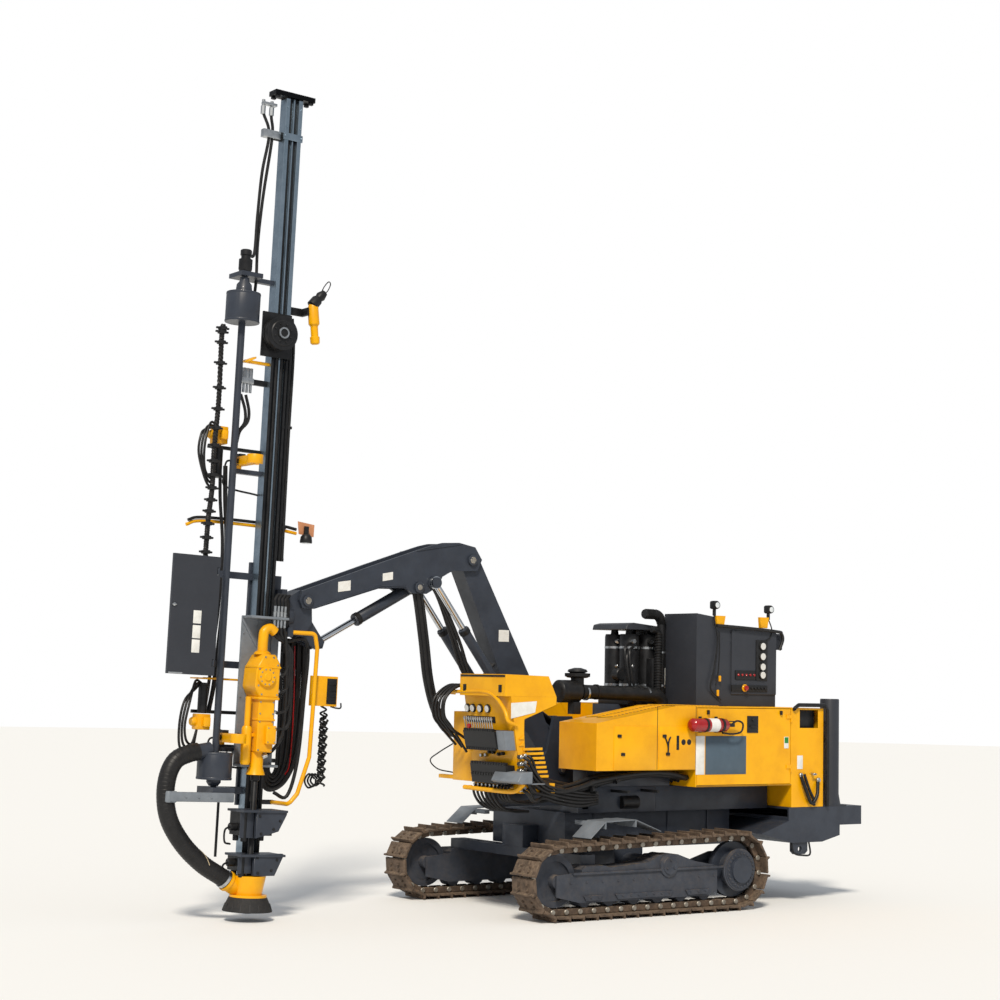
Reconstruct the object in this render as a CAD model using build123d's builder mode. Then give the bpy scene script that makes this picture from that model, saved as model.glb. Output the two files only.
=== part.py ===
"""Crawler drilling rig for surface blast holes, in millimetres.

+X is forward, towards the boom and the feed, +Y is the rig's left side and +Z is up.
The origin is on the ground, below the middle of the whole rig.
"""
from math import atan2, cos, hypot, pi, radians, sin
import os

from build123d import *

# Whole rig
overall_length = 7110.0
rear_end = -overall_length / 2
front_end = overall_length / 2
seat_gap = 0.3
running_gap = 5.0
wall = 4.0

# Crawler tracks
gauge = 2036.0
shoe_width = 330.0
track_front = 670.0
track_length = 2825.0
front_tip_radius = 345.0
rear_tip_radius = 372.0
grouser_height = 28.0
grouser_width = 24.0
grouser_taper = 5.0
shoe_thickness = 20.0
shoe_count = 40
link_height = 60.0
link_width = 150.0

# Track frames and running gear
frame_width = 220.0
skirt_thickness = 16.0
roller_radius = 72.0
roller_width = 140.0
roller_count = 6
idler_width = 90.0
axle_radius = 60.0
pivot_x = -928.0
pivot_z = 443.0
pivot_radius = 72.0
pivot_boss = 34.0
sprocket_width = 56.0
hub_radius = 168.0
hub_reach = 150.0
hub_cap_radius = 118.0
hub_cap_reach = 175.0
motor_radius = 110.0
motor_plate = (110.0, 140.0)

# Chassis
chassis_half_width = 560.0
chassis_rear = -2190.0
chassis_front = 560.0
chassis_bottom = 560.0
chassis_top = 900.0
subframe_rear = -2560.0
subframe_half_width = 700.0
boom_bay_rear = -1130.0
body_bottom = 1135.0
equaliser_x = (-160.0, 0.0)
equaliser_low = 470.0

# Yellow bodywork
body_half_width = 1000.0
bay_front = -1356.0
bay_rear = -2592.0
body_top = 1885.0
deck_front = -170.0
deck_front_height = 1722.0
deck_slope_rear = -1120.0
deck_bottom = 1295.0
deck_inner_y = 450.0
tank_front = -620.0
tank_inner_y = -740.0
door_margin = 12.0
door_gap = 6.0
door_thickness = 40.0
hinge_x = -2577.0
hinge_out = 6.0
hinge_knuckle = 5.7
hinge_pin = 4.0
hinge_heights = (1260.0, 1740.0)
hinge_length = 36.0

# Front control cabinet
cabinet_back = 250.0
cabinet_bottom = 1105.0
cabinet_top = 1950.0
cabinet_left = 950.0
cabinet_right = 250.0
cabinet_front_top = 760.0
cabinet_front_bottom = 620.0
lid_height = 193.0
lid_overhang = 54.0
side_box_width = 350.0

# Boom: pivots seen from the left side, as (forward, up)
boom_y = -380.0
swing_x = -860.0
foot_pivot = (-740.0, 1249.0)
elbow_pivot = (367.0, 3206.0)
head_pivot = (2139.0, 2755.0)
arm_width = 200.0
cheek_thickness = 36.0
pin_radius = 42.0
pin_head = 18.0
pin_gap = 0.3

# Boom cylinders: pivots seen from the left side, as (forward, up)
lift_lower = (-420.0, 1190.0)
lift_upper = (62.0, 2020.0)
fold_lower = (-156.0, 1750.0)
fold_upper = (805.0, 2975.0)
tilt_lower = (960.0, 2925.0)
tilt_upper = (1957.0, 2388.0)
barrel_radius = 55.0
fold_barrel_radius = 48.0
piston_rod_radius = 30.0
eye_radius = 58.0
eye_width = 60.0
small_pin_radius = 28.0
loose_pin_radius = 16.0
loose_bore_radius = 40.0
washer_radius = 50.0

# Feed, in its own leaning frame: forward, left and up from its foot
feed_lean = 1.9
feed_foot_x = 2604.0
feed_y = boom_y
beam_bottom_end = 360.0
beam_top_end = 7285.0
beam_forward = 170.0
beam_across = 110.0
drill_forward = 80.0
drill_left = 200.0
rod_radius = 26.0
swing_height = 2620.0
bearing_face = -215.3
magazine_forward = 440.0
magazine_left = 130.0
drum_radius = 150.0
grip_forward = 330.0
grip_left = -10.0
hinge_forward = 587.0
hinge_left = 265.0
guard_low = 2060.0
guard_high = 3070.0
guard_bracket_lows = (2140.0, 2920.0)
guard_knuckle = 12.0
guard_pin = 8.0

ground = Plane.XY
feed = Plane(
    origin=(feed_foot_x, feed_y, 0),
    x_dir=(cos(radians(feed_lean)), 0, sin(radians(feed_lean))),
    z_dir=(-sin(radians(feed_lean)), 0, cos(radians(feed_lean))),
)


def side_plane(left, base=ground):
    """The plane that a side view is drawn on, at a distance to the left."""
    return Plane(origin=base.from_local_coords((0, left, 0)), x_dir=base.x_dir, z_dir=-base.y_dir)


def block(back, front, right, left, low, high, base=ground, mode=Mode.ADD):
    """A straight block between six limits."""
    with BuildSketch(base.offset(low)) as section:
        with Locations(((back + front) / 2, (right + left) / 2)):
            Rectangle(front - back, left - right)
    extrude(section.sketch, amount=high - low, mode=mode)


def plate(points, right, left, base=ground, mode=Mode.ADD):
    """A side-view outline, given as (forward, up), made solid from right to left."""
    with BuildSketch(side_plane(left, base)) as outline:
        with BuildLine():
            Polyline(*points, close=True)
        make_face()
    extrude(outline.sketch, amount=left - right, mode=mode)


def cross_bar(centre, radius, right, left, base=ground, mode=Mode.ADD):
    """A round bar across the rig, with its centre given as (forward, up)."""
    with BuildSketch(side_plane(left, base)) as section:
        with Locations(centre):
            Circle(radius)
    extrude(section.sketch, amount=left - right, mode=mode)


def post(forward, left, radius, low, high, base=ground, mode=Mode.ADD):
    """A round upright."""
    with BuildSketch(base.offset(low)) as section:
        with Locations((forward, left)):
            Circle(radius)
    extrude(section.sketch, amount=high - low, mode=mode)


def spindle(left, up, radius, back, front, base=ground, mode=Mode.ADD):
    """A round bar that points forward."""
    start = base.from_local_coords((back, left, up))
    with BuildSketch(Plane(origin=start, z_dir=base.x_dir)) as section:
        Circle(radius)
    extrude(section.sketch, amount=front - back, mode=mode)


def strut(start, end, radius, across, mode=Mode.ADD):
    """A round bar between two side-view points, at one distance to the left."""
    run = hypot(end[0] - start[0], end[1] - start[1])
    first = Vector(start[0], across, start[1])
    last = Vector(end[0], across, end[1])
    with BuildSketch(Plane(origin=first, z_dir=last - first)) as section:
        Circle(radius)
    extrude(section.sketch, amount=run, mode=mode)


def bent_tube(points, bend, radius, base=ground):
    """A round tube along straight runs that are joined by arcs."""
    route = [base.from_local_coords(point) for point in points]
    with BuildLine() as path:
        FilletPolyline(*route, radius=bend)
    with BuildSketch(Plane(origin=route[0], z_dir=route[1] - route[0])) as section:
        Circle(radius)
    sweep(section.sketch, path=path.line)


def pair(points, inner, outer, mode=Mode.ADD):
    """The same side-view plate on both sides of the boom's middle plane."""
    plate(points, boom_y - outer, boom_y - inner, mode=mode)
    plate(points, boom_y + inner, boom_y + outer, mode=mode)


def boom_pin(centre, radius, reach, mode=Mode.ADD):
    """A pin across the boom, the same distance to both sides."""
    cross_bar(centre, radius, boom_y - reach, boom_y + reach, mode=mode)


def along(start, end, share):
    """The point at a share of the way between two side-view points."""
    return (start[0] + share * (end[0] - start[0]), start[1] + share * (end[1] - start[1]))


def save(piece, name):
    """Labels a finished piece and writes it."""
    piece.part.label = name
    export_step(piece.part, f"parts/{name}.step")


os.makedirs("parts", exist_ok=True)

# Crawler tracks: one closed loop of shoes on a chain, with the drive wheel at the rear
front_base = front_tip_radius - grouser_height - shoe_thickness
rear_base = rear_tip_radius - grouser_height - shoe_thickness
idler = (track_front - front_tip_radius, front_tip_radius)
drive = (track_front - track_length + rear_tip_radius, rear_tip_radius)
straight_run = idler[0] - drive[0]
axle_slope = atan2(idler[1] - drive[1], straight_run)
front_arc = (pi + 2 * axle_slope) * front_base
rear_arc = (pi - 2 * axle_slope) * rear_base
shoe_pitch = (2 * straight_run + front_arc + rear_arc) / shoe_count
top_normal = pi / 2 + 2 * axle_slope


def loop_point(distance, height):
    """A point at a distance along the chain's outer face and a height outside it."""
    if distance < straight_run:
        return (drive[0] + distance, idler[1] - front_base - height)
    distance -= straight_run
    if distance < front_arc:
        angle = -pi / 2 + distance / front_base
        reach = front_base + height
        return (idler[0] + reach * cos(angle), idler[1] + reach * sin(angle))
    distance -= front_arc
    if distance < straight_run:
        reach = front_base + height
        start = (idler[0] + reach * cos(top_normal), idler[1] + reach * sin(top_normal))
        return (start[0] - distance * sin(top_normal), start[1] + distance * cos(top_normal))
    distance -= straight_run
    angle = top_normal + distance / rear_base
    reach = rear_base + height
    return (drive[0] + reach * cos(angle), drive[1] + reach * sin(angle))


def loop_ring(height):
    """The loop's outline at one height, with a point at each joint between shoes."""
    return [loop_point(number * shoe_pitch, height) for number in range(shoe_count)]


def shoe_outline():
    """The loop's outline with a grouser on each shoe."""
    points = []
    for number in range(shoe_count):
        start = number * shoe_pitch
        for along_shoe, height in (
            (0, shoe_thickness),
            (grouser_taper, shoe_thickness + grouser_height),
            (grouser_width - grouser_taper, shoe_thickness + grouser_height),
            (grouser_width, shoe_thickness),
        ):
            points.append(loop_point(start + along_shoe, height))
    return points


for side_name, side in (("left", 1), ("right", -1)):
    middle = side * gauge / 2
    chain_limits = (middle - link_width / 2, middle + link_width / 2)
    shoe_limits = (middle - shoe_width / 2, middle + shoe_width / 2)
    with BuildPart() as chain:
        plate(loop_ring(shoe_thickness / 2), *chain_limits)
        plate(loop_ring(-link_height), *chain_limits, mode=Mode.SUBTRACT)
    with BuildPart() as track:
        plate(shoe_outline(), *shoe_limits)
        plate(loop_ring(0), *shoe_limits, mode=Mode.SUBTRACT)
        add(chain.part)
    save(track, f"{side_name}_track")

# Track frames: a box beam with skirts outside the rollers, and a plate for the drive motor
chain_floor = grouser_height + shoe_thickness + link_height
roller_z = chain_floor + roller_radius + 1
skirt_bottom = chain_floor + 45
frame_bottom = roller_z + roller_radius + 12
half_frame = frame_width / 2
roller_span = half_frame - skirt_thickness - seat_gap
boss_reach = half_frame + 12
frame_outline = [
    (75, frame_bottom), (75, 440), (30, equaliser_low - seat_gap), (-190, equaliser_low - seat_gap),
    (-240, 450), (-690, 480), (-820, 540), (-1040, 540), (-1250, 470), (drive[0] + 300, 430),
    (drive[0] + 300, frame_bottom),
]
skirt_outline = [
    (idler[0] + 30, skirt_bottom + 60), (idler[0] + 30, 400), (idler[0] - 200, 420),
    (drive[0] + 260, 420), (drive[0] + 260, skirt_bottom + 30), (drive[0] + 380, skirt_bottom),
    (idler[0] - 240, skirt_bottom),
]
motor_plate_outline = [
    (drive[0] - 190, 215), (drive[0] - 190, 530), (drive[0] + 150, 530), (drive[0] + 500, 430),
    (drive[0] + 500, 215),
]
with BuildPart() as track_frames:
    for side in (1, -1):
        middle = side * gauge / 2
        plate(frame_outline, middle - half_frame, middle + half_frame)
        for face in (-1, 1):
            edge = middle + face * (half_frame - skirt_thickness / 2)
            plate(skirt_outline, edge - skirt_thickness / 2, edge + skirt_thickness / 2)
        inner = sorted((middle - side * motor_plate[0], middle - side * motor_plate[1]))
        plate(motor_plate_outline, *inner)
        pivot = (pivot_x, pivot_z)
        cross_bar(pivot, pivot_radius + pivot_boss, middle - boss_reach, middle + boss_reach)
        bore = sorted((middle - side * boss_reach, middle + side * (half_frame - 10)))
        cross_bar(pivot, pivot_radius + pin_gap, *bore, mode=Mode.SUBTRACT)
save(track_frames, "track_frames")

with BuildPart() as running_gear:
    rim = (front_base - link_height) * cos(shoe_pitch / front_base / 2) - seat_gap
    first_roller = drive[0] + rear_base + 60
    last_roller = idler[0] - front_base - 20
    for side in (1, -1):
        middle = side * gauge / 2
        cross_bar(idler, rim, middle - idler_width / 2, middle + idler_width / 2)
        for face in (-1, 1):
            dish = sorted((middle + face * 20, middle + face * idler_width / 2))
            cross_bar(idler, rim - 55, *dish, mode=Mode.SUBTRACT)
        cross_bar(idler, axle_radius, middle - roller_span, middle + roller_span)
        for number in range(roller_count):
            place = first_roller + number * (last_roller - first_roller) / (roller_count - 1)
            cross_bar((place, roller_z), roller_radius, middle - roller_width / 2,
                      middle + roller_width / 2)
            cross_bar((place, roller_z), axle_radius / 2, middle - roller_span, middle + roller_span)
save(running_gear, "idlers_and_rollers")

with BuildPart() as final_drives:
    rim = (rear_base - link_height) * cos(shoe_pitch / rear_base / 2) - seat_gap
    # (nearest and farthest reach outward from the track's middle, radius)
    for near, far, radius in (
        (-sprocket_width / 2, sprocket_width / 2, rim),
        (0, hub_reach, hub_radius),
        (hub_reach, hub_cap_reach, hub_cap_radius),
        (seat_gap - motor_plate[0], 0, motor_radius - 10),
        (-240, -motor_plate[1] - seat_gap, motor_radius),
    ):
        for side in (1, -1):
            middle = side * gauge / 2
            cross_bar(drive, radius, *sorted((middle + side * near, middle + side * far)))
save(final_drives, "final_drives")

# Chassis: a box between the tracks with the pivot shaft, and a subframe that leaves the boom's bay free
support_top = deck_bottom - seat_gap
with BuildPart() as chassis:
    # (back, front, right, left, low, high)
    for limits in (
        (chassis_rear, chassis_front, -chassis_half_width, chassis_half_width, chassis_bottom, chassis_top),
        (pivot_x - 170, pivot_x + 170, -chassis_half_width, chassis_half_width, pivot_z - 130,
         chassis_bottom),
        (subframe_rear, boom_bay_rear, -subframe_half_width, subframe_half_width, chassis_top,
         body_bottom),
        (boom_bay_rear, -210, 120, subframe_half_width, chassis_top, body_bottom),
        (-1300, -300, 500, subframe_half_width, body_bottom, support_top),
        (-1350, -1150, -980, -subframe_half_width + 20, 1040, body_bottom),
        (-1350, -700, -980, -860, 1040, support_top),
        (-1350, -1140, -280, 100, body_bottom, body_top),
        (-210, chassis_front, 320, 480, chassis_top, cabinet_bottom - seat_gap),
    ):
        block(*limits)
    cross_bar((pivot_x, pivot_z), pivot_radius, -gauge / 2 - half_frame + 30,
              gauge / 2 + half_frame - 30)
save(chassis, "chassis")

with BuildPart() as equaliser:
    block(*equaliser_x, -gauge / 2, gauge / 2, equaliser_low, chassis_bottom - seat_gap)
save(equaliser, "equaliser_beam")

# Engine: one plain block, closed in by the bodywork
with BuildPart() as engine:
    block(-2350, -1500, -380, 380, body_bottom + seat_gap, 1720)
save(engine, "engine_block")

# Engine bay bodywork: thin walls, open below, with a service doorway on each side
door_rear = bay_rear + door_margin
door_front = bay_front - door_margin
door_low = body_bottom + door_margin
door_high = body_top - door_margin
with BuildPart() as engine_cover:
    block(bay_rear, bay_front, -body_half_width, body_half_width, body_bottom + seat_gap, body_top)
    block(bay_rear + wall, bay_front - wall, -body_half_width + wall, body_half_width - wall,
          body_bottom, body_top - wall, mode=Mode.SUBTRACT)
    block(door_rear, door_front, -body_half_width, body_half_width, door_low, door_high,
          mode=Mode.SUBTRACT)
    for side in (1, -1):
        leaf = sorted((side * body_half_width, side * (body_half_width + 9)))
        for low in hinge_heights:
            pin_top = low + 2 * hinge_length - 4
            post(hinge_x, side * (body_half_width + hinge_out), hinge_knuckle, low, low + hinge_length)
            post(hinge_x, side * (body_half_width + hinge_out), hinge_pin, low, pin_top)
            block(bay_rear, hinge_x, *leaf, low, low + hinge_length)
save(engine_cover, "engine_cover")

for side_name, side in (("left", 1), ("right", -1)):
    outside = sorted((side * body_half_width, side * (body_half_width - door_thickness)))
    inside = sorted((side * (body_half_width - wall), side * (body_half_width - door_thickness)))
    with BuildPart() as side_door:
        block(door_rear + door_gap, door_front - door_gap, *outside, door_low + door_gap,
              door_high - door_gap)
        block(door_rear + door_gap + wall, door_front - door_gap - wall, *inside,
              door_low + door_gap + wall, door_high - door_gap - wall, mode=Mode.SUBTRACT)
        leaf = sorted((side * body_half_width, side * (body_half_width + 9)))
        for height in hinge_heights:
            low = height + hinge_length + seat_gap
            high = height + 2 * hinge_length
            post(hinge_x, side * (body_half_width + hinge_out), hinge_knuckle, low, high)
            block(hinge_x, hinge_x + 60, *leaf, low, high)
            post(hinge_x, side * (body_half_width + hinge_out), hinge_pin + pin_gap, low, high,
                 mode=Mode.SUBTRACT)
    save(side_door, f"{side_name}_service_door")

# Front decks beside the boom, hollow below a sloping top
deck_rear = bay_front + seat_gap


def deck_outline(front, inset):
    """A deck's side outline, drawn in by the thickness of its wall."""
    slope = (body_top - deck_front_height) / (deck_front - deck_slope_rear)
    front_height = body_top - slope * (front - deck_slope_rear)
    low = deck_bottom - (1 if inset else 0)
    return [
        (front - inset, low), (front - inset, front_height - inset), (deck_slope_rear, body_top - inset),
        (deck_rear + inset, body_top - inset), (deck_rear + inset, low),
    ]


with BuildPart() as left_deck:
    plate(deck_outline(deck_front, 0), deck_inner_y, body_half_width)
    plate(deck_outline(deck_front, wall), deck_inner_y + wall, body_half_width - wall,
          mode=Mode.SUBTRACT)
    block(-1300, -300, deck_inner_y, body_half_width, deck_bottom, deck_bottom + wall)
save(left_deck, "left_front_deck")
with BuildPart() as tank:
    plate(deck_outline(tank_front, 0), -body_half_width, tank_inner_y)
save(tank, "right_tank")

# Grey rear cabinet with the gauge panel, hollow and open below
with BuildPart() as rear_cabinet:
    plate([(-2610, body_top + seat_gap), (-2610, 2630), (-1806, 2655), (-1790, 2740), (-1575, 2765),
           (-1575, body_top + seat_gap)], 280, 750)
    plate([(-2606, body_top), (-2606, 2626), (-1802, 2651), (-1786, 2736), (-1579, 2760),
           (-1579, body_top)], 284, 746, mode=Mode.SUBTRACT)
    block(-2606, -2015, 746, 764, 2000, 2616)
    block(-2708, -2606, 300, 740, 2442, 2600)
save(rear_cabinet, "rear_cabinet")

# Filter rack under its own roof, and the exhaust elbow
rack_low = body_top + seat_gap
with BuildPart() as filter_rack:
    block(-1600, -850, -300, 240, rack_low, 1960)
    for forward in (-1480, -1225, -970):
        for left in (-175, 105):
            post(forward, left, 95, 1960, 2560)
    block(-1600, -850, -300, 240, 2560, 2600 - seat_gap)
save(filter_rack, "filter_rack")
with BuildPart() as rack_roof:
    plate([(-1715, 2600), (-1715, 2625), (-930, 2668), (-890, 2600)], -320, 245)
save(rack_roof, "rack_roof")
with BuildPart() as exhaust:
    bent_tube([(-1520, 296, rack_low), (-1520, 296, 2755), (-1298, 296, 2755)], 90, 42)
save(exhaust, "exhaust")

# Air intake: a canister with a mushroom cap, and a fat pipe back to the engine bay
with BuildPart() as air_intake:
    post(-385, 370, 60, body_bottom + seat_gap, 2160)
    post(-385, 370, 95, 2160, 2225)
    bent_tube([(-385, 370, 1990), (-1446, 400, 1978), (-1446, 400, rack_low)], 90, 55)
save(air_intake, "air_intake")

# Front control cabinet: open at the top, below its lid
panel_slope = (cabinet_front_top - cabinet_front_bottom) / (cabinet_top - cabinet_bottom)


def panel_x(height):
    """Where the slanted front panel stands at a height."""
    return cabinet_front_bottom + panel_slope * (height - cabinet_bottom)


with BuildPart() as front_cabinet:
    plate([(cabinet_back, cabinet_bottom), (cabinet_front_bottom, cabinet_bottom),
           (cabinet_front_top, cabinet_top), (cabinet_back, cabinet_top)], cabinet_right, cabinet_left)
    plate([(cabinet_back + wall, cabinet_bottom + wall), (cabinet_front_bottom - wall, cabinet_bottom + wall),
           (cabinet_front_top - wall, cabinet_top + 1), (cabinet_back + wall, cabinet_top + 1)],
          cabinet_right + wall, cabinet_left - wall, mode=Mode.SUBTRACT)
    block(310, panel_x(1175) - 1, cabinet_right - side_box_width, cabinet_right, 1175, 1800)
save(front_cabinet, "front_cabinet")
lid_low = cabinet_top + seat_gap
lid_top = cabinet_top + lid_height
lid_front = cabinet_front_top + lid_overhang
with BuildPart() as cabinet_lid:
    plate([(cabinet_back, lid_low), (lid_front, lid_low), (lid_front, lid_top),
           (cabinet_back + 92, lid_top - 10)], cabinet_right, cabinet_left)
    plate([(cabinet_back + 10, lid_low - 1), (lid_front - wall, lid_low - 1), (lid_front - wall, lid_top - wall),
           (cabinet_back + 98, lid_top - 10 - wall)], cabinet_right + wall, cabinet_left - wall,
          mode=Mode.SUBTRACT)
save(cabinet_lid, "cabinet_lid")
with BuildPart() as valve_bank:
    # (low, high, right, left, reach at the bottom, reach at the top)
    for low, high, right, left, low_reach, high_reach in (
        (1490, 1640, 344, 823, 120, 130),
        (1181, 1347, 355, 893, 100, 100),
    ):
        plate([(panel_x(low) + seat_gap, low), (panel_x(low) + low_reach, low),
               (panel_x(high) + high_reach, high), (panel_x(high) + seat_gap, high)], right, left)
save(valve_bank, "valve_bank")

# Rear end: bumper, yellow box with an opening, and a grey upright box
bumper_top = 923.0 - seat_gap
tow_eye = (-2732.0, 520.0)
tow_eye_radius = 26.0
with BuildPart() as bumper:
    plate([(chassis_rear - 5, 680), (-2604, 583), (-3015, 583), (-3255, 640), (-3255, 740),
           (rear_end, 740), (rear_end, bumper_top), (subframe_rear - seat_gap, bumper_top),
           (subframe_rear - seat_gap, 794)], -body_half_width, body_half_width)
    plate([(-2600, 603), (-3010, 603), (-3233, 658), (-3233, 762), (rear_end + 20, 762),
           (rear_end + 20, 903), (-2550, 903), (-2550, 830), (-2600, 830)],
          -body_half_width + 20, body_half_width - 20, mode=Mode.SUBTRACT)
    plate([(-2834, 595), (-2834, 500), (-2800, 470), (-2665, 470), (-2631, 500), (-2631, 595)],
          body_half_width - 60, body_half_width - 20)
    cross_bar(tow_eye, tow_eye_radius, body_half_width - 60, body_half_width - 20, mode=Mode.SUBTRACT)
save(bumper, "rear_bumper")
with BuildPart() as rear_box:
    block(-3020, bay_rear - seat_gap, 560, body_half_width, 923, 1878)
    block(-3020 + wall, bay_rear - wall, 560 + wall, body_half_width - wall, 923 + wall, 1878 - wall,
          mode=Mode.SUBTRACT)
    block(-2947, -2700, 700, body_half_width, 1686, 1860, mode=Mode.SUBTRACT)
save(rear_box, "rear_box")
with BuildPart() as rear_post:
    block(-3290, -3020 - seat_gap, 700, body_half_width, 923, 1971)
    block(-3350, -3290, 660, body_half_width, 923, 1030)
save(rear_post, "rear_post")

# Boom base on the chassis, and the swinging foot with two cheeks
half_arm = arm_width / 2
cheek_inner = half_arm + running_gap
cheek_outer = cheek_inner + cheek_thickness
base_top = 1060.0
with BuildPart() as boom_base:
    post(swing_x, boom_y, 190, chassis_top + seat_gap, base_top)
save(boom_base, "boom_base")
foot_floor = base_top + seat_gap
with BuildPart() as boom_foot:
    post(swing_x, boom_y, 185, foot_floor, 1100)
    block(-940, -370, boom_y - cheek_outer, boom_y + cheek_outer, foot_floor, 1100)
    pair([(-1010, foot_floor), (-370, foot_floor), (-350, 1230), (-470, 1300), (-560, 1420),
          (-640, 1756), (-860, 1756), (-1010, 1400)], cheek_inner, cheek_outer)
    boom_pin(foot_pivot, pin_radius, cheek_outer + pin_head)
    boom_pin(lift_lower, small_pin_radius, cheek_outer + pin_head)
save(boom_foot, "boom_foot")

# Lower arm: a box that widens towards the middle, with ears for the cylinders
fold_offset = cheek_outer + running_gap + eye_width / 2
eye_half = eye_width / 2
ear_inner = eye_half + 6
with BuildPart() as lower_arm:
    plate([(-700, 1180), (-330, 1610), (-15, 2149), (84, 2373), (465, 3165), (275, 3262), (-353, 2155),
           (-600, 1640), (-812, 1290)], boom_y - half_arm, boom_y + half_arm)
    boom_pin(foot_pivot, 80, half_arm)
    boom_pin(elbow_pivot, 105, half_arm)
    boom_pin(foot_pivot, pin_radius + pin_gap, half_arm, mode=Mode.SUBTRACT)
    boom_pin(elbow_pivot, pin_radius + pin_gap, half_arm, mode=Mode.SUBTRACT)
    pair([(-120, 1900), (20, 1960), (115, 2010), (110, 2075), (40, 2090), (-60, 2080)], ear_inner,
         ear_inner + 25)
    boom_pin(lift_upper, loose_pin_radius, ear_inner + 12)
    pair([(-330, 1610), (-210, 1690), (-110, 1700), (-95, 1790), (-170, 1830), (-200, 1840)], 66,
         half_arm)
    for side in (1, -1):
        stub = sorted((boom_y + side * 66, boom_y + side * (fold_offset + eye_half)))
        cross_bar(fold_lower, small_pin_radius, *stub)
save(lower_arm, "lower_arm")

# Outer arm: two cheeks with a web between them
with BuildPart() as outer_arm:
    pair([(2193, 2841), (1405, 3121), (994, 3262), (795, 3328), (695, 3352), (514, 3363), (330, 3330),
          (250, 3215), (300, 3110), (450, 3100), (586, 3096), (697, 3035), (735, 2960), (790, 2915),
          (870, 2870), (1030, 2870), (1100, 2912), (1366, 2905), (2064, 2687), (2185, 2690),
          (2215, 2760)], cheek_inner, cheek_outer)
    plate([(1950, 2775), (1960, 2870), (1405, 3090), (990, 3230), (760, 3290), (740, 3250),
           (1380, 3040)], boom_y - cheek_inner, boom_y + cheek_inner)
    boom_pin(elbow_pivot, pin_radius, cheek_outer + pin_head)
    boom_pin(head_pivot, pin_radius, cheek_outer + pin_head)
    boom_pin(tilt_lower, small_pin_radius, cheek_outer + pin_head)
    washer_inner = fold_offset + eye_half + 6
    for side in (1, -1):
        stub = sorted((boom_y + side * cheek_inner, boom_y + side * washer_inner))
        cross_bar(fold_upper, loose_pin_radius, *stub)
        washer = sorted((boom_y + side * washer_inner, boom_y + side * (washer_inner + 8)))
        cross_bar(fold_upper, washer_radius, *washer)
save(outer_arm, "outer_arm")

# Boom head: hangs on the head pin and carries the feed's swing bearing
with BuildPart() as boom_head:
    plate([(2070, 2830), (2190, 2850), (2290, 2790), (2290, 2460), (2150, 2440), (2060, 2560)],
          boom_y - half_arm, boom_y + half_arm)
    boom_pin(head_pivot, pin_radius + pin_gap, half_arm, mode=Mode.SUBTRACT)
    pair([(2060, 2600), (2200, 2440), (1990, 2330), (1925, 2340), (1905, 2400), (1950, 2450)],
         ear_inner, ear_inner + 30)
    for side in (1, -1):
        stub = sorted((boom_y + side * ear_inner, boom_y + side * (ear_inner + 50)))
        cross_bar(tilt_upper, small_pin_radius, *stub)
    spindle(0, swing_height, 120, bearing_face - 45, bearing_face, feed)
save(boom_head, "boom_head")


def cylinder(name, start, end, across, barrel_share, radius, end_bore):
    """A hydraulic cylinder, as a barrel and a rod, between two side-view points."""
    with BuildPart() as barrel:
        for place in across:
            strut(start, along(start, end, barrel_share), radius, place)
            cross_bar(start, eye_radius, place - eye_half, place + eye_half)
            strut(along(start, end, 0.1), along(start, end, barrel_share + 0.01),
                  piston_rod_radius + pin_gap, place, mode=Mode.SUBTRACT)
            cross_bar(start, small_pin_radius + pin_gap, place - radius, place + radius,
                      mode=Mode.SUBTRACT)
    save(barrel, f"{name}_barrel")
    with BuildPart() as piston_rod:
        for place in across:
            strut(along(start, end, 0.25), end, piston_rod_radius, place)
            cross_bar(end, eye_radius, place - eye_half, place + eye_half)
            if end_bore:
                cross_bar(end, end_bore, place - eye_half, place + eye_half, mode=Mode.SUBTRACT)
    save(piston_rod, f"{name}_rod")


fold_sides = (boom_y - fold_offset, boom_y + fold_offset)
cylinder("lift_cylinder", lift_lower, lift_upper, (boom_y,), 0.62, barrel_radius, loose_bore_radius)
cylinder("fold_cylinder", fold_lower, fold_upper, fold_sides, 0.66, fold_barrel_radius, loose_bore_radius)
cylinder("tilt_cylinder", tilt_lower, tilt_upper, (boom_y,), 0.6, barrel_radius, 0)

# Feed holder: swings on the boom head, guides the beam from its right side and guards the hoses
half_forward = beam_forward / 2
half_across = beam_across / 2
runner_width = 25.0
runner_backs = (-half_forward + 5, half_forward - 5 - runner_width)
holder_back = bearing_face + seat_gap
with BuildPart() as feed_holder:
    # (back, front, right, left, low, high)
    for limits in (
        (holder_back, holder_back + 50, -95, half_across, 2420, 2860),
        (holder_back, holder_back + 50, half_across, 200, 2440, 2520),
        (holder_back, -120, -95, -63, 2300, 2980),
        (-120, 105, -95, -63, 960, 3080),
        (-265, -100, -95, -63, 970, 1010),
        (-105, -90, -95, -30, 1200, 1400),
        (-105, -90, -95, -30, 2450, 2650),
        (-105, -90, -95, -30, 2850, 3050),
    ):
        block(*limits, feed)
    for low in (1200, 2450, 2850):
        for back in runner_backs:
            block(back, back + runner_width, -63, -half_across - seat_gap, low, low + 200, feed)
    bent_tube([(-250, -79, 990), (-250, 230, 990), (-330, 230, 1080), (-430, 230, 1400),
               (-440, 230, 1800), (-450, 230, 2350), (-420, 230, 2480), (-190, 160, 2480)], 40, 14, feed)
save(feed_holder, "feed_holder")

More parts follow.
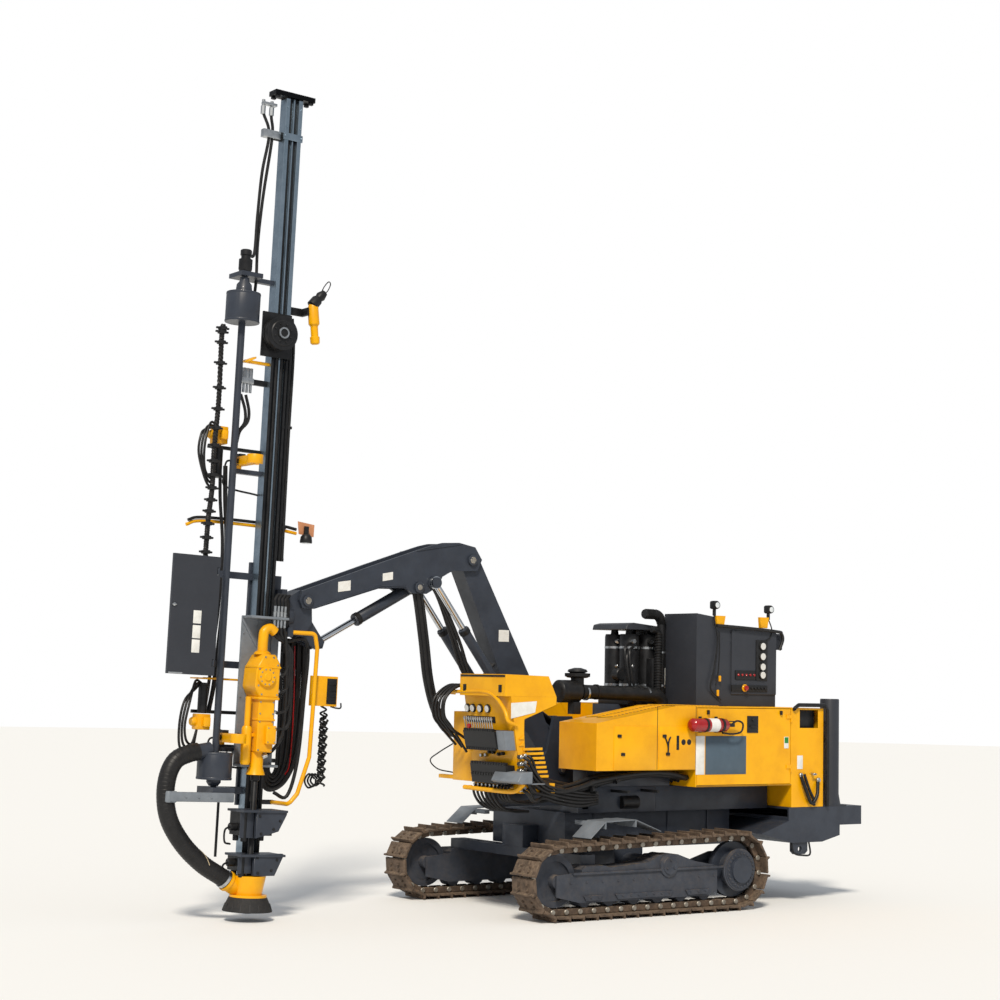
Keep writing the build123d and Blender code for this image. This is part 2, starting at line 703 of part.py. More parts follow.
# Feed beam: a grooved profile with its top plate
with BuildPart() as feed_beam:
    block(-half_forward, half_forward, -half_across, half_across, beam_bottom_end, beam_top_end, feed)
    for side in (1, -1):
        groove = sorted((side * 30, side * half_across))
        block(-45, 45, *groove, beam_bottom_end, beam_top_end, feed, mode=Mode.SUBTRACT)
    block(-205, 205, -65, 65, beam_top_end, beam_top_end + 45, feed)
save(feed_beam, "feed_beam")

# Brackets on the feed beam: magazine arms, foot beam, gripper brackets and guard brackets
bracket_back = half_forward + seat_gap
with BuildPart() as feed_brackets:
    # (back, front, right, left, low, high)
    for limits in (
        (bracket_back, 300, -50, 10, 5560, 5600),
        (290, 500, -50, 190, 5560, 5600),
        (bracket_back, 300, -50, 10, 1060, 1120),
        (290, 500, -50, 240, 1060, 1120),
        (400, 870, 205, 255, 1000, 1075),
        (bracket_back, grip_forward + 40, -50, 12, 3840, 3880),
        (bracket_back, grip_forward + 40, -50, 12, 1440, 1480),
        (bracket_back, 600, -half_across, -35, 2140, 2200),
        (575, 600, -half_across, 240, 2140, 2200),
        (577, 597, 239, hinge_left, 2140, 2200),
        (bracket_back, 600, -half_across, -35, 2920, 2980),
        (575, 600, -half_across, 240, 2920, 2980),
        (577, 597, 239, hinge_left, 2920, 2980),
    ):
        block(*limits, feed)
    for low in guard_bracket_lows:
        post(hinge_forward, hinge_left, guard_knuckle, low, low + 60, feed)
        post(hinge_forward, hinge_left, guard_pin, low, low + 110, feed)
    post(magazine_forward, magazine_left, rod_radius + pin_gap, 1060, 1120, feed, mode=Mode.SUBTRACT)
    post(magazine_forward, magazine_left, rod_radius + pin_gap, 5560, 5600, feed, mode=Mode.SUBTRACT)
save(feed_brackets, "feed_brackets")

# Drill cradle, rock drill and drill rod: all slide up the feed beam
slide_low = half_across + 6
slide_high = half_across + 30
with BuildPart() as cradle:
    block(-140, 230, slide_low, slide_high, 1300, 2600, feed)
    for back in (-half_forward - 20, half_forward + running_gap):
        for low in (1320, 2380):
            block(back, back + 15, 20, slide_low, low, low + 200, feed)
    for back in runner_backs:
        for low in (1320, 2380):
            block(back, back + runner_width, half_across + seat_gap, slide_low, low, low + 200, feed)
save(cradle, "drill_cradle")
with BuildPart() as rock_drill:
    block(-60, 250, slide_high + seat_gap, 330, 1900, 2270, feed)
    block(-20, 200, slide_high + seat_gap, 310, 1430, 1900, feed)
    post(drill_forward, drill_left, 70, 1236, 1430, feed)
    post(drill_forward, drill_left, 45, 2270, 2420, feed)
save(rock_drill, "rock_drill")
with BuildPart() as drill_rod:
    post(drill_forward, drill_left, rod_radius, 60, 1236 - seat_gap, feed)
    post(drill_forward, drill_left, 38, 60, 130, feed)
save(drill_rod, "drill_rod")

# Hose trolley with its drum
with BuildPart() as trolley:
    block(-85, 205, slide_low, slide_low + 20, 4900, 5300, feed)
    cross_bar((60, 5105), 145, slide_low + 20, slide_low + 104, feed)
    for back in runner_backs:
        block(back, back + runner_width, half_across + seat_gap, slide_low, 4900, 5300, feed)
save(trolley, "hose_trolley")

# Rod magazine: two drums on a spindle
with BuildPart() as magazine:
    post(magazine_forward, magazine_left, rod_radius, 1060, 5800, feed)
    for low, high in ((1185, 1414), (5150, 5412)):
        post(magazine_forward, magazine_left, drum_radius, low, high, feed)
save(magazine, "rod_magazine")

# Rod grippers: an arm on a pivot with an open jaw
grip_reach = hypot(grip_forward - drill_forward, drill_left - grip_left)
for name, low in (("upper_gripper", 3880 + seat_gap), ("lower_gripper", 1480 + seat_gap)):
    with BuildPart() as gripper:
        post(grip_forward, grip_left, 42, low, low + 120, feed)
        block(grip_forward - 30, grip_forward + 30, grip_left, grip_left + grip_reach - 40, low + 20,
              low + 100, feed)
        post(grip_forward, grip_left + grip_reach, 70, low + 20, low + 100, feed)
        post(grip_forward, grip_left + grip_reach, rod_radius + 8, low, low + 120, feed,
             mode=Mode.SUBTRACT)
        block(grip_forward - 80, grip_forward, grip_left + grip_reach - 34, grip_left + grip_reach + 34,
              low, low + 120, feed, mode=Mode.SUBTRACT)
    save(gripper, name)

# Guard panel beside the magazine, on its own hinge
lean_sin = sin(radians(feed_lean))
lean_cos = cos(radians(feed_lean))
guard_front = (front_end - feed_foot_x + guard_low * lean_sin) / lean_cos
with BuildPart() as guard_panel:
    block(hinge_forward - 10, guard_front, hinge_left - 15, hinge_left + 15, guard_low, guard_high, feed)
    for low in guard_bracket_lows:
        block(hinge_forward - 11, hinge_forward + 19, hinge_left - 16, hinge_left + 16, low - running_gap,
              low + 60 + seat_gap, feed, mode=Mode.SUBTRACT)
        post(hinge_forward, hinge_left, guard_pin + pin_gap, low, low + 115, feed, mode=Mode.SUBTRACT)
save(guard_panel, "guard_panel")

# Centraliser, suction hood and its rubber skirt at the feed's foot
with BuildPart() as centraliser:
    for low, high in ((690, 940), (380, 560)):
        block(-150, 240, half_across + seat_gap, 330, low, high, feed)
        post(drill_forward, drill_left, 60, low, high, feed, mode=Mode.SUBTRACT)
save(centraliser, "centraliser")
with BuildPart() as hood:
    post(drill_forward, drill_left, 145, 199, 380 - seat_gap, feed)
    post(drill_forward, drill_left, 60, 199, 380, feed, mode=Mode.SUBTRACT)
save(hood, "suction_hood")
with BuildPart() as skirt:
    post(drill_forward, drill_left, 230, 80, 199 - seat_gap, feed)
    post(drill_forward, drill_left, 200, 80, 189, feed, mode=Mode.SUBTRACT)
    post(drill_forward, drill_left, 60, 180, 199, feed, mode=Mode.SUBTRACT)
save(skirt, "hood_skirt")
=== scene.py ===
# %% [markdown]
# This lesson dresses a crawler drilling rig. A machine like this carries a tall feed beam on a folding
# boom, so that a rock drill can slide down it and bore holes for blasting. The imported CAD model is the
# frame: every piece below is built in the same place as on the real rig, and all but the two hose loops
# ride on one of its bodies.

# %% Load the imported rig
from math import atan2, cos, pi, radians, sin

import bmesh
import bpy
from mathutils import Matrix, Vector


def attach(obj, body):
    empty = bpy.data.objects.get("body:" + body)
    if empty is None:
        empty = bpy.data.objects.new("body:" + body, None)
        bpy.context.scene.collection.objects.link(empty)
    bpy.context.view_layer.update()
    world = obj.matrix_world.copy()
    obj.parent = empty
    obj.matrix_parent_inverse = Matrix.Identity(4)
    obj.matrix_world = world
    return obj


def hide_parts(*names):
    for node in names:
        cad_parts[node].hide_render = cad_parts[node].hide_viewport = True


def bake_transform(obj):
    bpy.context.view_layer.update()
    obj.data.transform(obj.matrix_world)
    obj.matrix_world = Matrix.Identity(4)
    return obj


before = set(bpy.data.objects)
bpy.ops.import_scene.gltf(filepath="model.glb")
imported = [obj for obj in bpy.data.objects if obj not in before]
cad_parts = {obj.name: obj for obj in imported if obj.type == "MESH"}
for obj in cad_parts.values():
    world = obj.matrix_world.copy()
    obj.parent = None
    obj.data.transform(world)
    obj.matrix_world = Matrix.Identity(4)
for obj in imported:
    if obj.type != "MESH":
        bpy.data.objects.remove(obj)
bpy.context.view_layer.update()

# %% [markdown]
# Colours are written as the hex values a painter would quote, so one function turns them to linear light.
# Another small function adds any shader node with its settings and links. With those two, each finish
# stays short enough to read.

# %% Colour and node helpers
def linear(code):
    """A hex colour as linear red, green, blue and alpha."""
    parts = [int(code[i:i + 2], 16) / 255 for i in (1, 3, 5)]
    return tuple(p / 12.92 if p <= 0.04045 else ((p + 0.055) / 1.055) ** 2.4 for p in parts) + (1.0,)


def add_node(tree, kind, settings=(), stops=(), **inputs):
    """Adds one node; inputs are values or sockets, with the socket's name in lower case."""
    node = tree.nodes.new(kind)
    for key, value in dict(settings).items():
        setattr(node, key, value)
    for place, colour in stops:
        ramp = node.color_ramp.elements
        element = ramp[0] if place == stops[0][0] else ramp[1] if place == stops[-1][0] else ramp.new(place)
        element.position = place
        element.color = colour
    for key, value in inputs.items():
        wanted = key.replace("_", " ").lower()
        socket = next(s for s in node.inputs if s.name.lower() == wanted and s.enabled)
        if isinstance(value, bpy.types.NodeSocket):
            tree.links.new(value, socket)
        else:
            socket.default_value = value
    return node

# %% [markdown]
# Almost everything on the rig is painted or plated steel. Such a surface is never one flat colour: the
# film varies over a hand's width, dust settles on what faces up, and the orange-peel of sprayed paint
# bends the highlights. One recipe with real sizes in millimetres covers them all.

# %% The recipe for coated and bare surfaces
MM = 0.001


def surface(name, colour, worn, dust, patch_mm, grain_mm, rough, metallic=0.0, dusty=0.3, relief=0.15,
            coat=0.0):
    """A finish: its colour, its worn colour, its dust, and the sizes of its patches and grain."""
    material = bpy.data.materials.new(name)
    material.use_nodes = True
    tree = material.node_tree
    shader = tree.nodes["Principled BSDF"]
    place = add_node(tree, "ShaderNodeTexCoord").outputs["Object"]
    patches = add_node(tree, "ShaderNodeTexNoise", vector=place, scale=1 / (patch_mm * MM), detail=5.0,
                       roughness=0.62)
    spread = add_node(tree, "ShaderNodeValToRGB", stops=((0.38, (0, 0, 0, 1)), (0.68, (1, 1, 1, 1))),
                      fac=patches.outputs["Fac"])
    body = add_node(tree, "ShaderNodeMix", {"data_type": "RGBA"}, factor=spread.outputs["Color"])
    body.inputs[6].default_value = linear(colour)
    body.inputs[7].default_value = linear(worn)
    facing = add_node(tree, "ShaderNodeSeparateXYZ",
                      vector=add_node(tree, "ShaderNodeNewGeometry").outputs["Normal"])
    upward = add_node(tree, "ShaderNodeMapRange", value=facing.outputs["Z"], from_min=0.1, from_max=1.0,
                      to_min=0.12, to_max=1.0)
    drift = add_node(tree, "ShaderNodeTexNoise", vector=place, scale=1 / (patch_mm * 0.35 * MM), detail=6.0,
                     roughness=0.7)
    settle = add_node(tree, "ShaderNodeMapRange", value=drift.outputs["Fac"], from_min=0.42, from_max=0.72,
                      to_min=0.0, to_max=dusty)
    amount = add_node(tree, "ShaderNodeMath", {"operation": "MULTIPLY"})
    tree.links.new(upward.outputs["Result"], amount.inputs[0])
    tree.links.new(settle.outputs["Result"], amount.inputs[1])
    dusted = add_node(tree, "ShaderNodeMix", {"data_type": "RGBA"}, factor=amount.outputs["Value"])
    tree.links.new(body.outputs[2], dusted.inputs[6])
    dusted.inputs[7].default_value = linear(dust)
    tree.links.new(dusted.outputs[2], shader.inputs["Base Color"])
    shine = add_node(tree, "ShaderNodeMapRange", value=patches.outputs["Fac"], from_min=0.3, from_max=0.7,
                     to_min=max(rough - 0.07, 0.05), to_max=min(rough + 0.08, 1.0))
    tree.links.new(shine.outputs["Result"], shader.inputs["Roughness"])
    grain = add_node(tree, "ShaderNodeTexNoise", vector=place, scale=1 / (grain_mm * MM), detail=3.0)
    bump = add_node(tree, "ShaderNodeBump", strength=relief, distance=grain_mm * 0.12 * MM,
                    height=grain.outputs["Fac"])
    tree.links.new(bump.outputs["Normal"], shader.inputs["Normal"])
    shader.inputs["Metallic"].default_value = metallic
    shader.inputs["Coat Weight"].default_value = coat
    shader.inputs["Specular IOR Level"].default_value = 0.35
    return material

# %% [markdown]
# The finishes, by what they really are. Powder coat and enamel are dielectrics with a soft shine, zinc
# plate and aluminium are metals with a brushed or spangled look, and hose rubber is nearly black with a
# broad sheen. Track shoes are cast steel that quarry dust has turned brown.

# %% Finishes
# Powder coat and enamel: thick films, even in colour, with a soft highlight and settled dust
YELLOW = surface("yellow_powder_coat", "#F0AE00", "#E29E00", "#A88A50", 260, 9, 0.36, dusty=0.14, coat=0.05)
CHARCOAL = surface("charcoal_enamel", "#343A45", "#2B303A", "#6E6659", 240, 9, 0.42, dusty=0.22, coat=0.05)
FRAME_GREY = surface("dusty_charcoal_enamel", "#3B404A", "#30343D", "#7E6F5E", 180, 12, 0.6, dusty=0.9)
CABINET = surface("cabinet_grey_powder_coat", "#33363D", "#2E3138", "#67625B", 260, 8, 0.4, dusty=0.2)
# Cast and blackened steel: rough, so light spreads, with patches of a worn tone
SHOE_STEEL = surface("dusty_cast_steel", "#6B5A4C", "#463C35", "#A08C74", 70, 8, 0.8, metallic=0.25,
                     dusty=0.95, relief=0.5)
BLACK_STEEL = surface("black_oxide_steel", "#1B1C1E", "#26272A", "#5B5348", 90, 6, 0.42, metallic=0.3,
                      dusty=0.3)
# Rubber: nearly black with a broad sheen, and dust in its pores
RUBBER = surface("hose_rubber", "#131314", "#1D1D1F", "#4B443C", 60, 4, 0.46, dusty=0.3, relief=0.3)
MATT_RUBBER = surface("matt_rubber", "#202021", "#2A2A2B", "#5A5149", 80, 6, 0.75, dusty=0.4, relief=0.4)
# Plated and anodised metal: tight bright highlights on small parts
ZINC = surface("zinc_plated_steel", "#C3C6C8", "#9A9EA1", "#8B8478", 40, 3, 0.34, metallic=1.0, dusty=0.25)
ZINC_DULL = surface("worn_bright_steel", "#A9A59C", "#8A8378", "#A08C74", 40, 4, 0.5, metallic=0.7, dusty=0.6)
CHROME = surface("hard_chrome_plate", "#D9DCDF", "#C6CACE", "#A7A39A", 200, 30, 0.13, metallic=1.0,
                 dusty=0.05, relief=0.03)
ALUMINIUM = surface("anodised_aluminium", "#93A3B0", "#7A8B99", "#84827D", 140, 5, 0.33, metallic=0.9,
                    dusty=0.15)
# Enamel on small parts: the red one is glossy, the orange one has faded
GREY_STEEL = surface("light_grey_enamel", "#7B828A", "#6C737B", "#857D72", 120, 6, 0.42, dusty=0.3)
RED = surface("red_enamel", "#A51218", "#8C0F12", "#6E4038", 90, 6, 0.28, dusty=0.15, coat=0.4)
ORANGE = surface("orange_enamel", "#CB8D66", "#B87E58", "#9A7350", 70, 6, 0.5, dusty=0.3)
# Printed vinyl film: flat colour that lies smoothly on the sheet
WHITE_VINYL = surface("white_vinyl_film", "#E6E6E2", "#D9D8D2", "#B5AC9C", 60, 3, 0.45, dusty=0.1)
SLATE_VINYL = surface("slate_vinyl_film", "#4C5D6B", "#475764", "#8B8478", 120, 3, 0.4, dusty=0.1)
BEIGE_RUBBER = surface("beige_marking_rubber", "#B9A98C", "#A89878", "#8A7C68", 50, 4, 0.6, dusty=0.3)
GREEN_VINYL = surface("green_vinyl_film", "#2E8B3C", "#277A34", "#8B8478", 40, 3, 0.45, dusty=0.1)
# Moulded polyamide and glass: a fine grain, and the only mirror-like faces
BLACK_PLASTIC = surface("black_polyamide", "#17181A", "#1F2022", "#4D473F", 50, 2, 0.5, dusty=0.2)
LENS = surface("lamp_lens", "#DDE3E6", "#CDD4D8", "#A9A498", 30, 2, 0.12, dusty=0.05, coat=1.0)
GAUGE_FACE = surface("gauge_dial_enamel", "#D8D9D6", "#CFCFCB", "#A9A498", 20, 1, 0.3, dusty=0.05, coat=0.8)

# %% [markdown]
# The feed beam is extruded aluminium, bare at the top where only the trolley passes. Below the trolley the
# hose bands cover its left face, and that face is painted black: partly for dark steel, partly as painted
# shade. The plate on its top is black. Two masks say so: one from the height and the way a face looks,
# softened over a few centimetres, and one from the height alone.

# %% The feed beam's finish
def beam_finish():
    """Bare aluminium, a black top plate, and below the trolley a left face of dark steel and painted shade.
    """
    material = ALUMINIUM.copy()
    material.name = "feed_beam_aluminium_painted_shade"
    tree = material.node_tree
    shader = tree.nodes["Principled BSDF"]
    bare = shader.inputs["Base Color"].links[0].from_socket
    coords = add_node(tree, "ShaderNodeTexCoord")
    height = add_node(tree, "ShaderNodeSeparateXYZ", vector=coords.outputs["Object"])
    facing = add_node(tree, "ShaderNodeSeparateXYZ", vector=coords.outputs["Normal"])
    # Below the trolley the left face is painted black: part dark steel, part painted shade.
    below = add_node(tree, "ShaderNodeMapRange", value=height.outputs["Z"], from_min=5.04, from_max=5.0)
    left = add_node(tree, "ShaderNodeMapRange", value=facing.outputs["Y"], from_min=0.5, from_max=0.6)
    left_face_steel_and_shade = add_node(tree, "ShaderNodeMath", {"operation": "MULTIPLY"})
    tree.links.new(below.outputs["Result"], left_face_steel_and_shade.inputs[0])
    tree.links.new(left.outputs["Result"], left_face_steel_and_shade.inputs[1])
    top = add_node(tree, "ShaderNodeMapRange", value=height.outputs["Z"], from_min=7.268, from_max=7.27)
    black = add_node(tree, "ShaderNodeMath", {"operation": "MAXIMUM"})
    tree.links.new(left_face_steel_and_shade.outputs["Value"], black.inputs[0])
    tree.links.new(top.outputs["Result"], black.inputs[1])
    mix = add_node(tree, "ShaderNodeMix", {"data_type": "RGBA"}, factor=black.outputs["Value"])
    mix.inputs[7].default_value = linear("#1A1B1D")
    tree.links.new(bare, mix.inputs[6])
    tree.links.new(mix.outputs[2], shader.inputs["Base Color"])
    return material


BEAM = beam_finish()
print("finishes:", len(bpy.data.materials))

# %% [markdown]
# The CAD nodes whose shape is right stay as they are. Plate that has been cut and folded has a small
# radius on every edge, and it is that radius which catches the light. A weld and a bevel modifier give it
# without touching the CAD vertices.

# %% Finish the CAD nodes
NODE_FINISH = {
    YELLOW: ("engine_cover", "left_service_door", "right_service_door", "left_front_deck", "right_tank",
             "rear_box", "front_cabinet", "cabinet_lid", "suction_hood", "rock_drill",
             "upper_gripper", "lower_gripper"),
    CHARCOAL: ("chassis", "rear_bumper", "boom_base", "boom_foot", "lower_arm", "outer_arm", "boom_head",
               "feed_holder", "feed_brackets", "centraliser", "rod_magazine", "equaliser_beam",
               "engine_block", "final_drives", "lift_cylinder_barrel", "fold_cylinder_barrel",
               "tilt_cylinder_barrel"),
    FRAME_GREY: ("track_frames", "idlers_and_rollers"),
    CABINET: ("rear_cabinet", "rear_post", "rack_roof", "guard_panel"),
    BLACK_STEEL: ("filter_rack", "exhaust", "air_intake", "hose_trolley", "valve_bank", "drill_rod"),
    CHROME: ("lift_cylinder_rod", "fold_cylinder_rod", "tilt_cylinder_rod"),
    GREY_STEEL: ("drill_cradle",),
    MATT_RUBBER: ("hood_skirt",),
    BEAM: ("feed_beam",),
}
EDGE_RADIUS = 3 * MM
dressed = set()
for finish, names in NODE_FINISH.items():
    for name in names:
        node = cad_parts[name]
        dressed.add(name)
        node.data.materials.clear()
        node.data.materials.append(finish)
        weld = node.modifiers.new("join_edges", "WELD")
        weld.merge_threshold = 0.00002
        edges = node.modifiers.new("edge_radius", "BEVEL")
        edges.width = EDGE_RADIUS
        edges.segments = 2
        edges.limit_method = "ANGLE"
        edges.angle_limit = radians(35)
        edges.harden_normals = True
print("CAD nodes with a finish:", len(dressed), "of", len(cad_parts))

# %% [markdown]
# Pieces are made in mesh code, in millimetres as on a workshop drawing, and scaled to metres at the end.
# A handful of helpers draw what a rig is built of: folded boxes, round bars, bent tubes and bolts. The
# feed leans by 1.9 degrees, so its pieces are drawn upright and then moved by the feed's own matrix.

# %% Shape helpers
LEAN = radians(1.9)
FEED = Matrix.Translation((2604, -380, 0)) @ Matrix.Rotation(-LEAN, 4, "Y")
HERE = Matrix.Identity(4)


def box(mesh, back, front, right, left, low, high, edge=3.0):
    """A block with rounded edges between six limits."""
    size = Vector((front - back, left - right, high - low))
    middle = Vector(((front + back) / 2, (left + right) / 2, (high + low) / 2))
    made = bmesh.ops.create_cube(mesh, size=1.0,
                                 matrix=Matrix.Translation(middle) @ Matrix.Diagonal(size).to_4x4())
    rims = list({e for v in made["verts"] for e in v.link_edges})
    edge = min(edge, min(size) * 0.3)
    bmesh.ops.bevel(mesh, geom=rims, offset=edge, segments=2, profile=0.5, affect="EDGES")

# %% Round bars and turned pieces
def across(direction):
    """Two directions square to a direction and to each other."""
    direction = direction.normalized()
    helper = Vector((0, 0, 1)) if abs(direction.z) < 0.9 else Vector((1, 0, 0))
    first = direction.cross(helper).normalized()
    return first, direction.cross(first).normalized()


def ring(mesh, centre, direction, radius, sides):
    """A ring of points round a centre."""
    first, second = across(direction)
    angles = [2 * pi * k / sides for k in range(sides)]
    return [mesh.verts.new(centre + radius * (cos(angle) * first + sin(angle) * second)) for angle in angles]


def turned(mesh, start, end, profile, sides=24, bored=False):
    """A turned piece; profile lists (share of the way from start to end, radius), closed if it is bored."""
    start, end = Vector(start), Vector(end)
    rings = [ring(mesh, start + share * (end - start), end - start, radius, sides)
             for share, radius in profile]
    for low, high in zip(rings, rings[1:] + rings[:1] if bored else rings[1:]):
        for k in range(sides):
            mesh.faces.new((low[k], low[(k + 1) % sides], high[(k + 1) % sides], high[k]))
    if not bored:
        mesh.faces.new(list(reversed(rings[0])))
        mesh.faces.new(rings[-1])


def bar(mesh, start, end, radius, sides=16, edge=0.0):
    """A round bar, with a small chamfer at both ends."""
    length = (Vector(end) - Vector(start)).length
    share = min((edge or radius * 0.12) / length, 0.3)
    inner = radius - (edge or radius * 0.12)
    turned(mesh, start, end, ((0, inner), (share, radius), (1 - share, radius), (1, inner)), sides)

# %% Hoses and tubes
def smooth_route(points, steps=6):
    """A soft curve through a hose's places."""
    points = [Vector(p) for p in points]
    padded = [2 * points[0] - points[1]] + points + [2 * points[-1] - points[-2]]
    route = []
    for a, b, c, d in zip(padded, padded[1:], padded[2:], padded[3:]):
        for k in range(steps):
            t = k / steps
            route.append(0.5 * (2 * b + (c - a) * t + (2 * a - 5 * b + 4 * c - d) * t * t
                                + (3 * b - a - 3 * c + d) * t ** 3))
    return route + [points[-1]]


def tube(mesh, points, radius, sides=10, soft=True, steps=6, radii=None):
    """A tube or hose along a route."""
    route = smooth_route(points, steps) if soft else [Vector(p) for p in points]
    heading = (route[1] - route[0]).normalized()
    first, _ = across(heading)
    angles = [2 * pi * j / sides for j in range(sides)]
    rings = []
    for k, place in enumerate(route):
        ahead = route[min(k + 1, len(route) - 1)] - route[max(k - 1, 0)]
        ahead.normalize()
        first = (first - first.dot(ahead) * ahead).normalized()
        second = ahead.cross(first)
        size = radii[k % len(radii)] if radii else radius
        rings.append([mesh.verts.new(place + size * (cos(angle) * first + sin(angle) * second))
                      for angle in angles])
    for low, high in zip(rings, rings[1:]):
        for k in range(sides):
            mesh.faces.new((low[k], low[(k + 1) % sides], high[(k + 1) % sides], high[k]))
    mesh.faces.new(list(reversed(rings[0])))
    mesh.faces.new(rings[-1])

# %% Bolts
def bolt(mesh, place, direction, size):
    """A hexagon bolt with its washer."""
    place, direction = Vector(place), Vector(direction).normalized()
    turned(mesh, place, place + direction * size * 0.18, ((0, size * 0.95), (1, size * 0.9)), 16)
    turned(mesh, place + direction * size * 0.18, place + direction * size * 0.75,
           ((0, size * 0.62), (0.85, size * 0.62), (1, size * 0.5)), 6)

# %% Plates, folded sheet and bored blocks
def sheet(mesh, outline, depth, edge=1.5):
    """A flat plate: its outline as points in space, made thick along depth."""
    face = mesh.faces.new([mesh.verts.new(Vector(p)) for p in outline])
    made = bmesh.ops.extrude_face_region(mesh, geom=[face])
    moved = [v for v in made["geom"] if isinstance(v, bmesh.types.BMVert)]
    bmesh.ops.translate(mesh, verts=moved, vec=Vector(depth))
    corners = list({v for v in list(face.verts) + moved})
    rims = list({e for v in corners for e in v.link_edges})
    bmesh.ops.bevel(mesh, geom=rims, offset=edge, segments=1, profile=0.5, affect="EDGES")


def folded(mesh, line, thick, right, left):
    """Bent sheet metal: walls inside a line of (forward, up) places that runs against the clock."""
    for (x0, z0), (x1, z1) in zip(line, line[1:]):
        inward = thick * Vector((z0 - z1, 0, x1 - x0)).normalized()
        start, end = Vector((x0, right, z0)), Vector((x1, right, z1))
        sheet(mesh, [start, end, end + inward, start + inward], (0, left - right, 0), 1)


def bored_block(mesh, back, front, right, left, low, high, hole, radius):
    """A block with a round hole through it, made as two halves that meet at the hole."""
    for side, edge in ((-1, right), (1, left)):
        arc = [(hole[0] + radius * cos(pi * k / 16),
                hole[1] + side * radius * sin(pi * k / 16)) for k in range(17)]
        outline = [(back, edge), (front, edge), (front, hole[1])] + arc + [(back, hole[1])]
        sheet(mesh, [(x, y, low) for x, y in outline], (0, 0, high - low), 2)

# %% From a drawing to a piece
def piece(name, draw, finish, body, place=HERE, smooth=35):
    """Draws a piece, gives it its finish and lets it ride on a body."""
    mesh = bmesh.new()
    draw(mesh)
    bmesh.ops.transform(mesh, matrix=Matrix.Scale(MM, 4) @ place, verts=mesh.verts)
    bmesh.ops.recalc_face_normals(mesh, faces=mesh.faces)
    data = bpy.data.meshes.new(name)
    mesh.to_mesh(data)
    mesh.free()
    data.polygons.foreach_set("use_smooth", [True] * len(data.polygons))
    data.set_sharp_from_angle(angle=radians(smooth))
    data.materials.append(finish)
    made = bpy.data.objects.new(name, data)
    bpy.context.scene.collection.objects.link(made)
    if body:
        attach(made, body)
    print(f"{name}: {len(data.polygons)} faces")
    return made

# %% [markdown]
# The crawler tracks carry the whole look of the lower half. Each track is forty shoes bolted to a chain
# of links, and a shoe is a rolled profile: a flat plate, a turned-up trailing edge and one tall grouser.
# The chain's line is two wheels and two straight runs, so a point at any distance along it is known.

# %% The track's line
TRACK_MIDDLE = 1018.0
SHOE_HALF = 165.0
SHOES = 40
SHOE_BASE = 48.0
IDLER = Vector((325.0, 345.0))
DRIVE = Vector((-1783.0, 372.0))
FRONT_BASE = 345.0 - SHOE_BASE
REAR_BASE = 372.0 - SHOE_BASE
RUN = IDLER.x - DRIVE.x
TRACK_SLOPE = atan2(IDLER.y - DRIVE.y, RUN)
FRONT_ARC = (pi + 2 * TRACK_SLOPE) * FRONT_BASE
REAR_ARC = (pi - 2 * TRACK_SLOPE) * REAR_BASE
PITCH = (2 * RUN + FRONT_ARC + REAR_ARC) / SHOES
TOP_NORMAL = pi / 2 + 2 * TRACK_SLOPE


def on_track(distance, height, left):
    """A place at a distance along the chain's outer face and a height outside it."""
    distance %= PITCH * SHOES
    if distance < RUN:
        return Vector((DRIVE.x + distance, left, IDLER.y - FRONT_BASE - height))
    distance -= RUN
    if distance < FRONT_ARC:
        angle, reach, hub = -pi / 2 + distance / FRONT_BASE, FRONT_BASE + height, IDLER
    elif distance < FRONT_ARC + RUN:
        reach = FRONT_BASE + height
        gone = distance - FRONT_ARC
        return Vector((IDLER.x + reach * cos(TOP_NORMAL) - gone * sin(TOP_NORMAL), left,
                       IDLER.y + reach * sin(TOP_NORMAL) + gone * cos(TOP_NORMAL)))
    else:
        angle = TOP_NORMAL + (distance - FRONT_ARC - RUN) / REAR_BASE
        reach, hub = REAR_BASE + height, DRIVE
    return Vector((hub.x + reach * cos(angle), left, hub.y + reach * sin(angle)))


print(f"{SHOES} shoes a side, {PITCH:.1f} mm apart")

# %% [markdown]
# A shoe and a link have one outline each, given along the track and outward from it. Laid on the track's
# line they bend with it, so the shoes round the wheels open up like the real ones.

